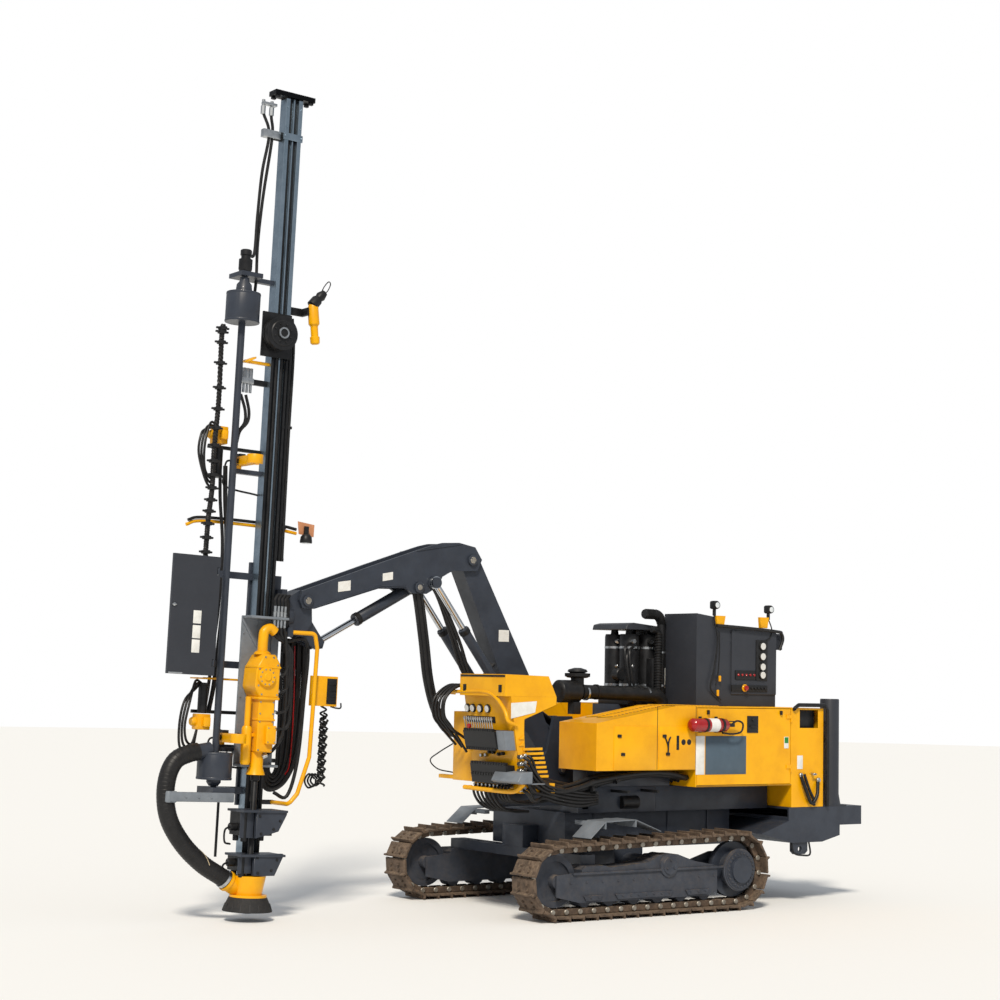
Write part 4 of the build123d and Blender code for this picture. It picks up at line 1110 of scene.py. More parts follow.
# %% Hoses on the carrier
def carrier_hoses(mesh):
    for number, z in enumerate(FITTING_HEIGHTS):
        tube(mesh, [(660, 1028, z - 3), (630, 1062, z - 34), (560, 1052, z - 130 + 8 * number),
                    (380, 985 - 8 * number, 1180 - 30 * number), (200, 930 - 8 * number, 1140 - 30 * number),
                    (-60, 900, 1100 - 30 * number), (-320, 840, 1080 - 20 * number)], 15, 12)
        tube(mesh, [(590, 990, z + 12), (560, 1022, z - 30), (500, 1010, z - 150 + 10 * number),
                    (340, 940, 1190 - 24 * number), (60, 880, 1120 - 24 * number),
                    (-250, 800, 1090)], 13, 12)
    for left, drop in ((905, 0), (862, -34), (820, 22)):
        tube(mesh, [(483, left, 1246 + drop), (300, left + 10, 1150 + drop), (157, left + 10, 1112 + drop),
                    (-80, left, 1150 + drop), (-297, left, 1208 + drop), (-767, left, 1262 + drop * 0.6),
                    (-1100, left - 6, 1262 + drop * 0.6), (-1340, left - 8, 1216)], 25, 14)
    for left, drop in ((755, 0), (712, 30), (665, -24)):
        tube(mesh, [(240, left, 1190 + drop), (42, left, 1144 + drop), (-222, left, 1120 + drop),
                    (-501, left, 1190 + drop), (-773, left, 1250 + drop), (-1161, left, 1268 + drop),
                    (-1400, left, 1170)], 23, 14)
    for left, high in ((40, 1500), (90, 1540), (140, 1480), (190, 1560), (215, 1440)):
        tube(mesh, [(560, left - 20, 1800), (600, left, 1990), (779, left + 10, 2040), (951, left + 20, 1929),
                    (968, left + 20, 1769), (880, left + 16, 1660), (700, left, high)], 12, 10)
    for left in (690, 740, 790, 840):
        tube(mesh, [(panel(1185) + 30, left, 1190), (panel(1150) + 60, left, 1120), (640, left, 1040),
                    (430, left - 30, 1010), (150, left - 60, 1030), (-150, left - 60, 1010)], 13, 10)
    for left in (330, 390, 450, 510, 570, 630):
        tube(mesh, [(panel(1158) + 40, left, 1158), (panel(1130) + 70, left, 1090), (620, left, 985),
                    (480, left, 930), (300, left, 925)], 12, 10)
    tube(mesh, [(600, -150, 1500), (680, -250, 1420), (700, -369, 1342), (640, -330, 1262),
                (560, -200, 1235)],
         6, 8)


piece("carrier_hoses", carrier_hoses, RUBBER, "carrier")

# %% Clamps and pumps in the recess
def recess_parts(mesh):
    for x in (-240, -600, -960):
        box(mesh, x - 14, x + 14, 640, 940, 1085, 1110, 4)
    for left in (755, 712, 665, 905, 862, 820):
        for x, z in ((-501, 1196), (-222, 1128)):
            turned(mesh, (x, left, z + (18 if left > 800 and x < -400 else 0)), (x + 30, left, z - 2),
                   ((0, 27), (1, 27)), 18)
    box(mesh, -330, -250, 560, 700, 930, 1130, 6)
    box(mesh, -640, -480, 590, 690, 915, 1090, 8)
    bar(mesh, (-900, 700, 990), (-700, 700, 990), 60, 24, 5)


piece("recess_clamps_and_pumps", recess_parts, BLACK_STEEL, "carrier")

# %% [markdown]
# The boom is welded box section in charcoal enamel. Its character is in its pins with keeper plates, the
# black gland rings of the cylinders and the hoses that hang in loops past the elbow, so that the boom
# can fold.

# %% Pin keepers
BOOM_Y = -380.0


def pin_faces(places, reach, size):
    """Keeper plates with bolts at the ends of pins seen from the side."""
    def draw(mesh):
        for x, z in places:
            for side in (1, -1):
                face = BOOM_Y + side * reach
                turned(mesh, (x, face - side, z), (x, face + side * 9, z),
                       ((0, size), (0.7, size), (1, size - 5)), 32)
                for turn_deg in (35, 215):
                    bolt(mesh, (x + size * 0.55 * cos(radians(turn_deg)), face + side * 9,
                                z + size * 0.55 * sin(radians(turn_deg))), (0, side, 0), 10)
    return draw


piece("foot_pin_keepers", pin_faces(((-740, 1249), (-420, 1190)), 159, 48), CHARCOAL, "foot")
piece("elbow_pin_keepers", pin_faces(((367, 3206), (2139, 2755), (960, 2925)), 159, 50), CHARCOAL,
      "outer_boom")

# %% [markdown]
# The hoses that cross a joint hang in loops. Each loop rides on no body: its mesh is baked in place where
# it hangs.

# %% Hose loops past the joints
def outer_arm_hoses(mesh):
    for number in range(7):
        angle = 2 * pi * number / 6
        reach = 0 if number == 6 else 36
        along, aside = reach * cos(angle), -300 + reach * sin(angle)
        tube(mesh, [(x + along, aside, z + 0.3 * along) for x, z in (
            (980, 2990), (925, 2850), (850, 2446), (790, 2079), (690, 1790), (540, 1600), (330, 1560),
            (130, 1690), (10, 1905))], 19, 10)
    for number, y in enumerate((-318, -292, -262)):
        tube(mesh, [(790, y, 2990), (680, y, 2823), (520 - 20 * number, y, 2456),
                    (416 - 20 * number, y, 2200),
                    (300, y, 2080), (170, y, 2110 + 16 * number), (70, y, 2240)], 16, 10)


loops = piece("elbow_hose_loops", outer_arm_hoses, RUBBER, None)
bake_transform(loops)


def lower_arm_hoses(mesh):
    for number, y in enumerate((-330, -360, -395, -430)):
        tube(mesh, [(-560 + 20 * number, y, 1790), (-700, y, 1700), (-860, y, 1560), (-900, y, 1380),
                    (-840, y, 1240), (-760, y + 10, 1150)], 14, 10)


foot_loops = piece("foot_hose_loops", lower_arm_hoses, RUBBER, None)
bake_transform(foot_loops)

# %% Glands of the cylinders
def gland_places():
    """Both ends and the radius of each cylinder's gland: lift, the two fold cylinders, tilt."""
    for start, end, share, size, places in (
        (Vector((-420, 0, 1190)), Vector((62, 0, 2020)), 0.62, 58, (-380,)),
        (Vector((-156, 0, 1750)), Vector((805, 0, 2975)), 0.66, 51, (-204, -556)),
        (Vector((960, 0, 2925)), Vector((1957, 0, 2388)), 0.60, 58, (-380,)),
    ):
        for y in places:
            low = start + share * (end - start)
            axis = (end - start).normalized()
            lift = Vector((0, y, 0))
            yield lift + low - axis * 55, lift + low - axis * 4, size


def gland_piece(name, numbers, body):
    """The glands with these numbers: a ring with six bolts each."""
    def draw(mesh):
        for number, (low, high, size) in enumerate(gland_places()):
            if number in numbers:
                turned(mesh, low, high, ((0, size), (0.15, size + 3), (0.85, size + 3), (1, size - 8)), 32)
                first, second = across(high - low)
                for angle in [radians(turn_deg) for turn_deg in range(0, 360, 60)]:
                    place = high + (size - 14) * (cos(angle) * first + sin(angle) * second)
                    bolt(mesh, place, high - low, 8)
    return piece(name, draw, BLACK_STEEL, body)


gland_piece("lift_cylinder_gland", (0,), "lift_barrel")
gland_piece("fold_cylinder_glands", (1, 2), "fold_barrels")
gland_piece("tilt_cylinder_gland", (3,), "tilt_barrel")

# %% Blank labels and edge strips
def arm_labels(mesh):
    face = BOOM_Y + 141
    for x, z, w, h in ((1760, 2912, 130, 90), (1300, 3020, 110, 70)):
        sheet(mesh, [(x - w / 2, face, z - h / 2), (x + w / 2, face, z - h / 2 - 20),
                     (x + w / 2, face, z + h / 2 - 20), (x - w / 2, face, z + h / 2)], (0, 2.5, 0), 0.8)


piece("outer_arm_blank_labels", arm_labels, WHITE_VINYL, "outer_boom")


def lower_arm_label(mesh):
    face = BOOM_Y + 100
    sheet(mesh, [(-110, face, 2455), (10, face, 2455), (10, face, 2565), (-110, face, 2565)], (0, 2.5, 0),
          0.8)


piece("lower_arm_blank_label", lower_arm_label, WHITE_VINYL, "lower_boom")


def outer_arm_ribs(mesh):
    for side in (1, -1):
        face = BOOM_Y + side * 141
        near, far = sorted((face - side, face + side * 8))
        for (x0, z0), (x1, z1) in (((500, 3345), (990, 3258)), ((1100, 2925), (1366, 2918)),
                                   ((1366, 2918), (2050, 2700))):
            sheet(mesh, [(x0, near, z0), (x1, near, z1), (x1, near, z1 + 9), (x0, near, z0 + 9)],
                  (0, far - near, 0), 1.5)


piece("outer_arm_ribs", outer_arm_ribs, CHARCOAL, "outer_boom")

# %% Ends of the pins
def bright_pins(places, reach):
    def draw(mesh):
        for x, z, size in places:
            for side in (1, -1):
                face = BOOM_Y + side * reach
                turned(mesh, (x, face, z), (x, face + side * 7, z), ((0, size), (0.6, size), (1, size - 4)),
                       28)
    return draw


piece("foot_bright_pins", bright_pins(((-740, 1249, 30), (-420, 1190, 22)), 165), ZINC_DULL,
      "foot")
piece("elbow_bright_pins", bright_pins(((367, 3206, 32), (2139, 2755, 30), (960, 2925, 26)), 165), ZINC_DULL,
      "outer_boom")

# %% [markdown]
# The feed beam carries two hose bands down its left face, a pack of hoses on its back and a few on its
# front. Clamps and wear strips are bolted on, and each bolt head catches a small highlight.

# %% Strips and hose bands
def beam_strips(mesh):
    for forward in (-84, 76):
        box(mesh, forward, forward + 8, -58, -52, 400, 7270, 2)
    for low in (7010, 7190):
        for forward in (-68, 68):
            bolt(mesh, (forward, 55, low), (0, 1, 0), 9)
    box(mesh, -7, 7, 29, 49, 365, 7280, 0.8)
    box(mesh, -98, 98, 52, 60, 6892, 6956, 3)
    for forward in (-84, 84):
        bolt(mesh, (forward, 60, 6924), (0, 1, 0), 12)


piece("beam_bright_strips", beam_strips, ALUMINIUM, "feed", FEED)


def hose_bands(mesh):
    for forward in (-26, 26):
        tube(mesh, [(forward, 38, 1000), (forward, 38, 3000), (forward, 38, 4900)], 16.5, 16, steps=2)


piece("beam_hose_bands", hose_bands, RUBBER, "feed", FEED)

# %% Hoses on the beam's back and front
def back_hoses(mesh):
    for number, forward in enumerate((-118, -152, -186)):
        tube(mesh, [(forward + 30, -40, 5300), (forward, -38, 5000), (forward, -40, 4200),
                    (forward - 4, -36, 3200), (forward - 8, -36, 3140)], 15, 12)
    for route in (((285, 0, 7100), (215, 0, 6920), (262, 0, 6562), (282, 0, 6148), (318, 50, 5800),
                   (410, 120, 5765)),
                  ((205, 0, 7090), (182, 0, 6900), (236, 0, 6362), (262, 0, 5921), (272, 30, 5600),
                   (300, 70, 5440)),
                  ((300, 20, 4540), (262, 26, 4400), (272, 30, 4300), (330, 10, 4215), (345, -10, 4110)),
                  ((350, 20, 4540), (300, 26, 4400), (300, 30, 4290), (350, 10, 4200), (370, -10, 4110))):
        tube(mesh, route, 14, 10)
    tube(mesh, [(-232, 60, 2403), (-440, 70, 2395), (-430, 80, 1880), (-400, 80, 1355), (-320, 70, 1052),
                (-200, 40, 1080)], 16, 12)


piece("beam_back_hoses", back_hoses, RUBBER, "feed", FEED)

# %% Clamps, painted groove shade and hose fittings
def beam_clamps_and_groove_shade(mesh):
    # The two thin dark strips in the beam's grooves are painted shade.
    for back, front in ((-44, -9), (9, 44)):
        box(mesh, back, front, 28, 31, 4890, 7280, 0.8)
    for low in (4300, 3400):
        box(mesh, -215, -84, -64, -30, low, low + 26, 4)
    box(mesh, 84, 250, -30, 8, 4640, 4690, 4)
    box(mesh, 84, 170, -20, 20, 6880, 6960, 3)
    for forward in (-84, 62):
        box(mesh, forward, forward + 22, 54, 59.5, 400, 4890, 1)
    for forward, left in ((-170, 40), (170, 40), (-170, -40), (170, -40)):
        box(mesh, forward - 20, forward + 20, left - 16, left + 16, 7262, 7286, 3)


piece("beam_clamps_wear_strips_and_groove_shade", beam_clamps_and_groove_shade, BLACK_STEEL, "feed", FEED)


def beam_fittings(mesh):
    for forward in (290, 205):
        bar(mesh, (forward, 0, 7090), (forward, 0, 7170), 22, 6, 3)
        bar(mesh, (forward, 0, 7170), (forward, 0, 7225), 15, 16, 2)
    box(mesh, 160, 300, -24, 24, 7180, 7206, 4)
    box(mesh, 110, 285, -28, 28, 6885, 6958, 4)
    box(mesh, 236, 372, -14, 40, 4640, 4690, 4)
    for forward in (256, 290, 324, 358):
        bar(mesh, (forward, 14, 4560), (forward, 14, 4640), 13, 14, 2)
        bar(mesh, (forward, 14, 4690), (forward, 14, 4780), 16, 6, 2)


piece("beam_valve_and_hose_fittings", beam_fittings, ZINC, "feed", FEED)

# %% [markdown]
# The trolley runs at half the drill's speed and carries the drum that the hoses turn round. A drum reads
# as turned steel by its two rims, so both are drawn, with a plain bright ring on the hub.

# %% Hose trolley's drum
def at_drum(left):
    """A place on the drum's axis."""
    return (60, left, 5105)


def drum_hub(mesh):
    turned(mesh, at_drum(186), at_drum(200), ((0, 118), (0.6, 118), (1, 110)), 40)
    turned(mesh, at_drum(198), at_drum(214), ((0, 52), (0.7, 52), (1, 44)), 32)
    for number in range(8):
        angle = 2 * pi * (number + 0.5) / 8
        bolt(mesh, (60 + 84 * cos(angle), 199, 5105 + 84 * sin(angle)), (0, 1, 0), 12)
    for left in (106, 184):
        turned(mesh, at_drum(left), at_drum(left + 7), ((0, 152), (1, 152)), 44)


piece("hose_drum_hub", drum_hub, BLACK_STEEL, "trolley", FEED)


def drum_ring(mesh):
    turned(mesh, at_drum(212), at_drum(221), ((0, 52), (1, 50), (1, 36), (0, 36)), 36, bored=True)


piece("hose_drum_bright_ring", drum_ring, ZINC, "trolley", FEED)

# %% [markdown]
# Small fittings hang on the beam: a tool in its holder, a lamp with an orange plate and two guide bars for
# the hoses. They were measured on the rig, so one function brings such a place into the feed's own frame.

# %% Tool and guide bars on the feed
def at_tool(x, z, y=-400):
    """A place measured on the rig, as a place on the feed."""
    return FEED.inverted() @ Vector((x, y, z))


FEED_LAMP = at_tool(2134, 3300, -300)


def feed_yellow_parts(mesh):
    turned(mesh, (-290, 80, 5440), (-338, 80, 5077),
           ((0, 34), (0.08, 48), (0.5, 50), (0.56, 34), (0.8, 34), (0.82, 44), (0.97, 42), (1, 30)), 24)
    tube(mesh, [at_tool(3230, 3380, -480), at_tool(3100, 3419, -480), at_tool(2700, 3415, -490),
                at_tool(2359, 3396, -490), at_tool(2134, 3365, -480)], 15, 12)
    turned(mesh, (320, 100, 4830), (330, 100, 4850), ((0, 30), (0.2, 62), (0.8, 62), (1, 40)), 28)
    box(mesh, 84, 330, -10, 30, 4826, 4852, 4)
    box(mesh, 84, 520, -40, -10, 2032, 2050, 4)
    box(mesh, 490, 640, -40, 90, 2032, 2044, 4)


piece("feed_yellow_parts", feed_yellow_parts, YELLOW, "feed", FEED)


def feed_black_parts(mesh):
    box(mesh, -240, -84, -40, -10, 5330, 5400, 4)
    box(mesh, -262, -232, -40, 90, 5330, 5400, 4)
    turned(mesh, (-278, 80, 5415), (-345, 80, 5500), ((0, 30), (0.1, 52), (0.8, 50), (1, 36)), 20)
    turned(mesh, (-342, 80, 5495), (-404, 80, 5560), ((0, 36), (0.4, 46), (1, 30)), 20)
    tube(mesh, [(-372, 80, 5560), (-400, 80, 5620), (-440, 80, 5668), (-462, 80, 5650), (-440, 80, 5590),
                (-404, 80, 5550)], 5, 8)
    tube(mesh, [at_tool(3219, 3420, -470), at_tool(3100, 3450, -470), at_tool(2700, 3446, -480),
                at_tool(2300, 3425, -480), at_tool(2140, 3400, -470)], 14, 10)
    lamp = FEED_LAMP
    turned(mesh, lamp + Vector((0, 0, 50)), lamp + Vector((0, 0, -30)),
           ((0, 30), (0.3, 50), (0.9, 56), (1, 52)), 28)
    box(mesh, lamp.x - 20, lamp.x + 20, lamp.y - 20, lamp.y + 10, lamp.z + 40, lamp.z + 120, 4)


piece("feed_black_parts", feed_black_parts, BLACK_STEEL, "feed", FEED)

# %% Orange plate and lamp
def feed_orange_plate(mesh):
    sheet(mesh, [at_tool(2202, 3464, -340), at_tool(2030, 3440, -340), at_tool(2036, 3330, -340),
                 at_tool(2190, 3350, -340)], (0, 5, 0), 1)


piece("feed_orange_plate", feed_orange_plate, ORANGE, "feed", FEED)


def feed_lamp_lens(mesh):
    lamp = FEED_LAMP
    turned(mesh, lamp + Vector((0, 0, -29)), lamp + Vector((0, 0, -34)), ((0, 46), (0.6, 44), (1, 38)), 28)


piece("feed_lamp_glass", feed_lamp_lens, LENS, "feed", FEED)

# %% Spiral-wound hose bundle
SPIRAL_PLACES = ((3050, 5120), (3062, 4990), (3070, 4461), (3099, 4022), (3106, 3691), (3134, 3412),
                 (3150, 3080))
SPIRAL_LINE = smooth_route([at_tool(x, z, -260) for x, z in SPIRAL_PLACES], 60)


def feed_spiral(mesh):
    for offset in (0, 2 * pi / 3, 4 * pi / 3):
        strand = [place + Vector((13 * cos(0.55 * k + offset), 13 * sin(0.55 * k + offset), 0))
                  for k, place in enumerate(SPIRAL_LINE)]
        tube(mesh, strand, 11, 8, soft=False)


piece("feed_spiral_bundle", feed_spiral, RUBBER, "feed", FEED)


def feed_spiral_rings(mesh):
    for place in SPIRAL_LINE[20::22]:
        box(mesh, place.x - 62, place.x + 62, place.y - 12, place.y + 12, place.z - 9, place.z + 9, 5)
        box(mesh, place.x - 30, place.x + 30, place.y - 34, place.y + 34, place.z - 16, place.z + 16, 6)


piece("feed_bundle_clamps", feed_spiral_rings, BLACK_PLASTIC, "feed", FEED)

# %% [markdown]
# The rod magazine, its guard panel and the grippers stand in front of the beam. The drums are cups that
# hold the rods' ends, so each has a rim and a neck, and the rods show between them.

# %% Rod magazine
SPIN = (440, 130)


def magazine_cups(mesh):
    for low, high in ((1185, 1414), (5150, 5412)):
        turned(mesh, (*SPIN, low - 2), (*SPIN, low + 20), ((0, 150.5), (0.2, 153), (0.8, 153), (1, 150.5)),
               40)
        turned(mesh, (*SPIN, high - 20), (*SPIN, high + 2), ((0, 150.5), (0.5, 152), (1, 146)), 40)
        for number in range(6):
            angle = 2 * pi * number / 6
            bolt(mesh, (SPIN[0] + 110 * cos(angle), SPIN[1] + 110 * sin(angle), high), (0, 0, 1), 11)
    turned(mesh, (*SPIN, 5412), (*SPIN, 5548), ((0, 74), (0.55, 66), (0.75, 44), (1, 40)), 32)
    turned(mesh, (*SPIN, 1130), (*SPIN, 1180), ((0, 40), (0.6, 62), (1, 62)), 28)


piece("magazine_cup_rims", magazine_cups, CHARCOAL, "magazine", FEED)


def magazine_tube(mesh):
    turned(mesh, (*SPIN, 1414), (*SPIN, 5148), ((0, 31), (1, 31)), 28)
    turned(mesh, (*SPIN, 5655), (*SPIN, 5803), ((0, 30), (0.7, 30), (0.75, 22), (1, 16)), 24)


piece("magazine_rod_tube", magazine_tube, CHARCOAL, "magazine", FEED)


def magazine_coupling(mesh):
    turned(mesh, (*SPIN, 5604), (*SPIN, 5800),
           ((0, 52), (0.1, 60), (0.55, 60), (0.57, 42), (0.72, 42), (0.74, 50), (0.96, 50), (1, 40)), 28)


piece("magazine_coupling", magazine_coupling, BLACK_STEEL, "magazine", FEED)

# %% Guard panel
def guard_labels(mesh):
    for up in (2547, 2422, 2301):
        box(mesh, 733, 807, 279, 282.5, up - 55, up + 55, 0.8)


piece("guard_blank_labels", guard_labels, WHITE_VINYL, "guard", FEED)


def guard_latches(mesh):
    bar(mesh, (972, 287, 2640), (1012, 287, 2640), 7, 12, 2)
    box(mesh, 985, 1003, 278, 292, 2626, 2654, 3)
    box(mesh, 880, 1012, 279, 288, 2063, 2076, 2)


piece("guard_latches", guard_latches, ZINC, "guard", FEED)

# %% Grippers
def gripper_bolts(low):
    def draw(mesh):
        for place in ((330, -10), (330, -10 + 326.5)):
            bolt(mesh, (*place, low + (120 if place[1] < 0 else 100)), (0, 0, 1), 13)
        box(mesh, 300, 360, 30, 90, low + 99, low + 126, 4)
        bar(mesh, (362, 60, low + 60), (420, 60, low + 60), 24, 20, 4)
        tube(mesh, [(414, 60, low + 60), (470, 60, low + 40), (470, 30, low - 60), (400, -60, low - 160),
                    (110, -60, low - 200), (95, -50, low - 205)], 9, 8)
    return draw


piece("upper_gripper_bolts", gripper_bolts(3880.3), BLACK_STEEL, "gripper", FEED)
piece("lower_gripper_bolts", gripper_bolts(1480.3), BLACK_STEEL, "feed", FEED)

# %% Gripper gear
# (height of the bracket, height of the yellow block, top and foot of the black cylinder)
GRIPPER_GEAR = ((4040, 4072, 4225, 3790), (1740, 1600, 1735, 1990))


def gripper_gear_yellow(mesh):
    for bracket, low, high, foot in GRIPPER_GEAR:
        box(mesh, 480, 600, -30, 84, low, high, 8)
        box(mesh, 500, 560, 84, 128, (low + high) / 2 - 40, (low + high) / 2 + 40, 6)
        turned(mesh, (600, 20, (low + high) / 2), (640, 20, (low + high) / 2), ((0, 40), (0.6, 40), (1, 30)),
               20)


piece("gripper_gear_yellow", gripper_gear_yellow, YELLOW, "feed", FEED)


def gripper_gear_black(mesh):
    for bracket, low, high, foot in GRIPPER_GEAR:
        box(mesh, 84, 600, -70, -30, bracket, bracket + 30, 4)
        bar(mesh, (540, 30, min(foot, bracket)), (540, 30, max(foot, bracket)), 42, 24, 5)
        bar(mesh, (540, 30, foot - 12), (540, 30, foot + 12), 54, 24, 4)


piece("gripper_gear_black", gripper_gear_black, BLACK_STEEL, "feed", FEED)


def gripper_gear_hoses(mesh):
    for number in range(3):
        out, down = 26 * number, 34 * number
        tube(mesh, [(560, 20, 4225), (640 + out, 60, 4250 - down), (700 + out, 100, 4120),
                    (716 + out, 110, 3960),
                    (690, 100, 3820 - down), (610, 60, 3760 - down), (560, 40, 3800)], 11, 8)
        tube(mesh, [(560, 20, 2000), (640, 70, 2010 - down), (700 + out, 110, 1840), (740 + out, 120, 1640),
                    (720 + out, 120, 1510 - down), (650, 90, 1480 - down), (590, 50, 1600)], 11, 8)
    tube(mesh, [(420, -50, 3900), (400, -50, 3600), (360, -50, 3200), (360, -50, 2700), (380, -50, 2300),
                (400, -50, 1990), (440, -40, 1760)], 20, 12)
    tube(mesh, [(470, -50, 3900), (450, -50, 3600), (400, -50, 3200), (400, -50, 2700), (430, -50, 2300),
                (450, -50, 1990), (480, -40, 1760)], 15, 10)


piece("gripper_gear_hoses", gripper_gear_hoses, RUBBER, "feed", FEED)

# %% [markdown]
# The rock drill hangs in a light grey cradle. Its gearbox has a round flange full of bolts, an
# accumulator rides on its side, and all its hoses leave at the top and loop down to the right.

# %% Rock drill
# (forward, left) of the drill rod's middle
ROD_LINE = (80, 200)
# (forward, up) of the drill's outlines
DRILL_HEAD = ((-40, 1900), (150, 1900), (196, 1990), (186, 2150), (120, 2270), (10, 2270), (-40, 2190))
DRILL_BODY = ((-15, 1430), (140, 1430), (140, 1900), (-15, 1900))
DRILL_COVER = ((-25, 1500), (70, 1500), (70, 1660), (-25, 1660))


def drill_yellow(mesh):
    for outline, right, left in ((DRILL_HEAD, 85.3, 320), (DRILL_BODY, 85.3, 305), (DRILL_COVER, 300, 345)):
        sheet(mesh, [(forward, right, up) for forward, up in outline], (0, left - right, 0), 8)
    turned(mesh, (96, 318, 2075), (96, 348, 2075), ((0, 86), (0.6, 86), (1, 78)), 36)
    turned(mesh, (96, 341, 2075), (96, 360, 2075), ((0, 36), (0.6, 36), (1, 30)), 28)
    turned(mesh, (205, 230, 1320), (205, 230, 1650), ((0, 34), (0.05, 44), (0.94, 44), (1, 34)), 28)
    turned(mesh, (205, 230, 1650), (205, 230, 1900), ((0, 26), (1, 26)), 20)
    box(mesh, 130, 206, 200, 250, 1560, 1590, 4)
    turned(mesh, (*ROD_LINE, 1236), (*ROD_LINE, 1430), ((0, 84), (0.33, 62), (1, 62)), 32)
    turned(mesh, (*ROD_LINE, 2268), (*ROD_LINE, 2300), ((0, 74), (0.5, 74), (1, 50)), 32)
    tube(mesh, [(*ROD_LINE, 2290), (*ROD_LINE, 2400), (70, 200, 2470), (20, 200, 2500), (-30, 200, 2470)],
         44, 24)
    for low, high, back, front in ((2150, 2170, -46, 190), (1880, 1904, -46, 160), (1700, 1718, -21, 146)):
        box(mesh, back, front, 100, 326 if low > 1800 else 316, low, high, 6)


made = piece("rock_drill_body", drill_yellow, YELLOW, "drill", FEED)
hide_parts("rock_drill")


def drill_bolts(mesh):
    for number in range(10):
        angle = 2 * pi * number / 10
        bolt(mesh, (96 + 66 * cos(angle), 347, 2075 + 66 * sin(angle)), (0, 1, 0), 8)
    for forward, low in ((-20, 1925), (130, 1925), (165, 2000), (160, 2140), (-15, 2180), (30, 2245),
                         (110, 2245)):
        bolt(mesh, (forward, 319, low), (0, 1, 0), 10)
    for forward in (0, 125):
        for low in (1450, 1690, 1760, 1860):
            bolt(mesh, (forward, 304, low), (0, 1, 0), 9)
    for forward in (-10, 55):
        for low in (1520, 1640):
            bolt(mesh, (forward, 344, low), (0, 1, 0), 7)


piece("drill_bolts", drill_bolts, ZINC_DULL, "drill", FEED)

# %% Cradle and its fittings
def cradle_parts(mesh):
    sheet(mesh, [(85, 86, 2600), (240, 86, 2600), (240, 86, 2560), (85, 86, 2330)], (0, 10, 0), 2)
    sheet(mesh, [(-140, 86, 2600), (-60, 86, 2600), (-60, 86, 2300)], (0, 10, 0), 2)
    box(mesh, -140, 236, 86, 250, 2578, 2600, 4)
    box(mesh, -140, 230, 86, 200, 1300, 1322, 4)
    for low in (1340, 1900, 2450):
        for forward in (-118, 212):
            bolt(mesh, (forward, 85, low), (0, 1, 0), 12)


piece("cradle_gussets", cradle_parts, GREY_STEEL, "drill", FEED)

# %% Drill's hose fittings
DRILL_FITTINGS = (-128, -94, -60, -26)
DRILL_PORTS = ((-36, 250, 2110), (-36, 250, 1960), (-12, 250, 1780), (-12, 250, 1640))


def drill_fittings(mesh):
    for forward in DRILL_FITTINGS:
        bar(mesh, (forward, 190, 2500), (forward, 190, 2578), 13, 14, 2)
        bar(mesh, (forward, 190, 2600), (forward, 190, 2650), 17, 6, 3)
        bar(mesh, (forward, 190, 2650), (forward, 190, 2700), 13, 14, 2)
    for place in DRILL_PORTS:
        start = Vector(place)
        bar(mesh, start, start + Vector((-44, 0, 0)), 17, 6, 3)
    bar(mesh, (10, 260, 1412), (52, 250, 1392), 24, 6, 3)


piece("drill_hose_fittings", drill_fittings, ZINC, "drill", FEED)

# %% Drill hoses and rod collars
def drill_hoses(mesh):
    for number, (forward, port) in enumerate(zip(DRILL_FITTINGS, DRILL_PORTS)):
        out = -150 - 14 * number
        tube(mesh, [(forward, 190, 2510), (forward - 8, 200, 2440), (out + 20, 230, 2340), (out, 245, 2200),
                    (out, 250, port[2] + 60), (port[0] - 84, 250, port[2] - 6),
                    (port[0] - 40, 250, port[2])], 14, 10)
        tube(mesh, [(forward, 190, 2700), (forward, 186, 2760), (forward - 50, 160, 2800),
                    (-176 - 8 * number, 110, 2740),
                    (-180 - 8 * number, 96, 2500), (-176 - 8 * number, 96, 2300)], 13, 10)
    tube(mesh, [(-110, 240, 2480), (-128, 244, 2356), (-146, 250, 2065), (-150, 250, 1798), (-128, 250, 1570),
                (-51, 255, 1455), (14, 258, 1410)], 15, 10)


piece("drill_hoses", drill_hoses, RUBBER, "drill", FEED)


def drill_rod_collars(mesh):
    turned(mesh, (*ROD_LINE, 1180), (*ROD_LINE, 1234), ((0, 30), (0.2, 40), (0.9, 40), (1, 34)), 28)
    turned(mesh, (*ROD_LINE, 60), (*ROD_LINE, 128), ((0, 39), (0.8, 39), (1, 30)), 28)


piece("drill_rod_collars", drill_rod_collars, BLACK_STEEL, "drill", FEED)

# %% [markdown]
# The dust hose is the largest hose on the rig: rubber on a wire helix, with beige stripes laid along it. Its
# line is one smooth curve through places read at the hose's middle. The wire and the stripes are strands
# wound on the same line, so they bend with it.

# %% Suction hose's line
# (forward, up) on the rig: the line of the hose's middle
HOSE_PLACES = ((2800, 297), (2914, 374), (3105, 491), (3290, 660), (3424, 862), (3468, 1061), (3450, 1241),
               (3381, 1366), (3261, 1420), (3180, 1436))
HOSE_RADIUS = 76.0
HOSE_STEP = 2.0


def even_steps(line, step):
    """The same line as places at equal steps."""
    places, wait = [line[0]], step
    for a, b in zip(line, line[1:]):
        length = (b - a).length
        ahead = (b - a).normalized()
        while length >= wait:
            a = a + ahead * wait
            places.append(a)
            length -= wait
            wait = step
        wait -= length
    return places


HOSE_LINE = even_steps(smooth_route([FEED.inverted() @ Vector((x, -220, z)) for x, z in HOSE_PLACES], 10),
                       HOSE_STEP)


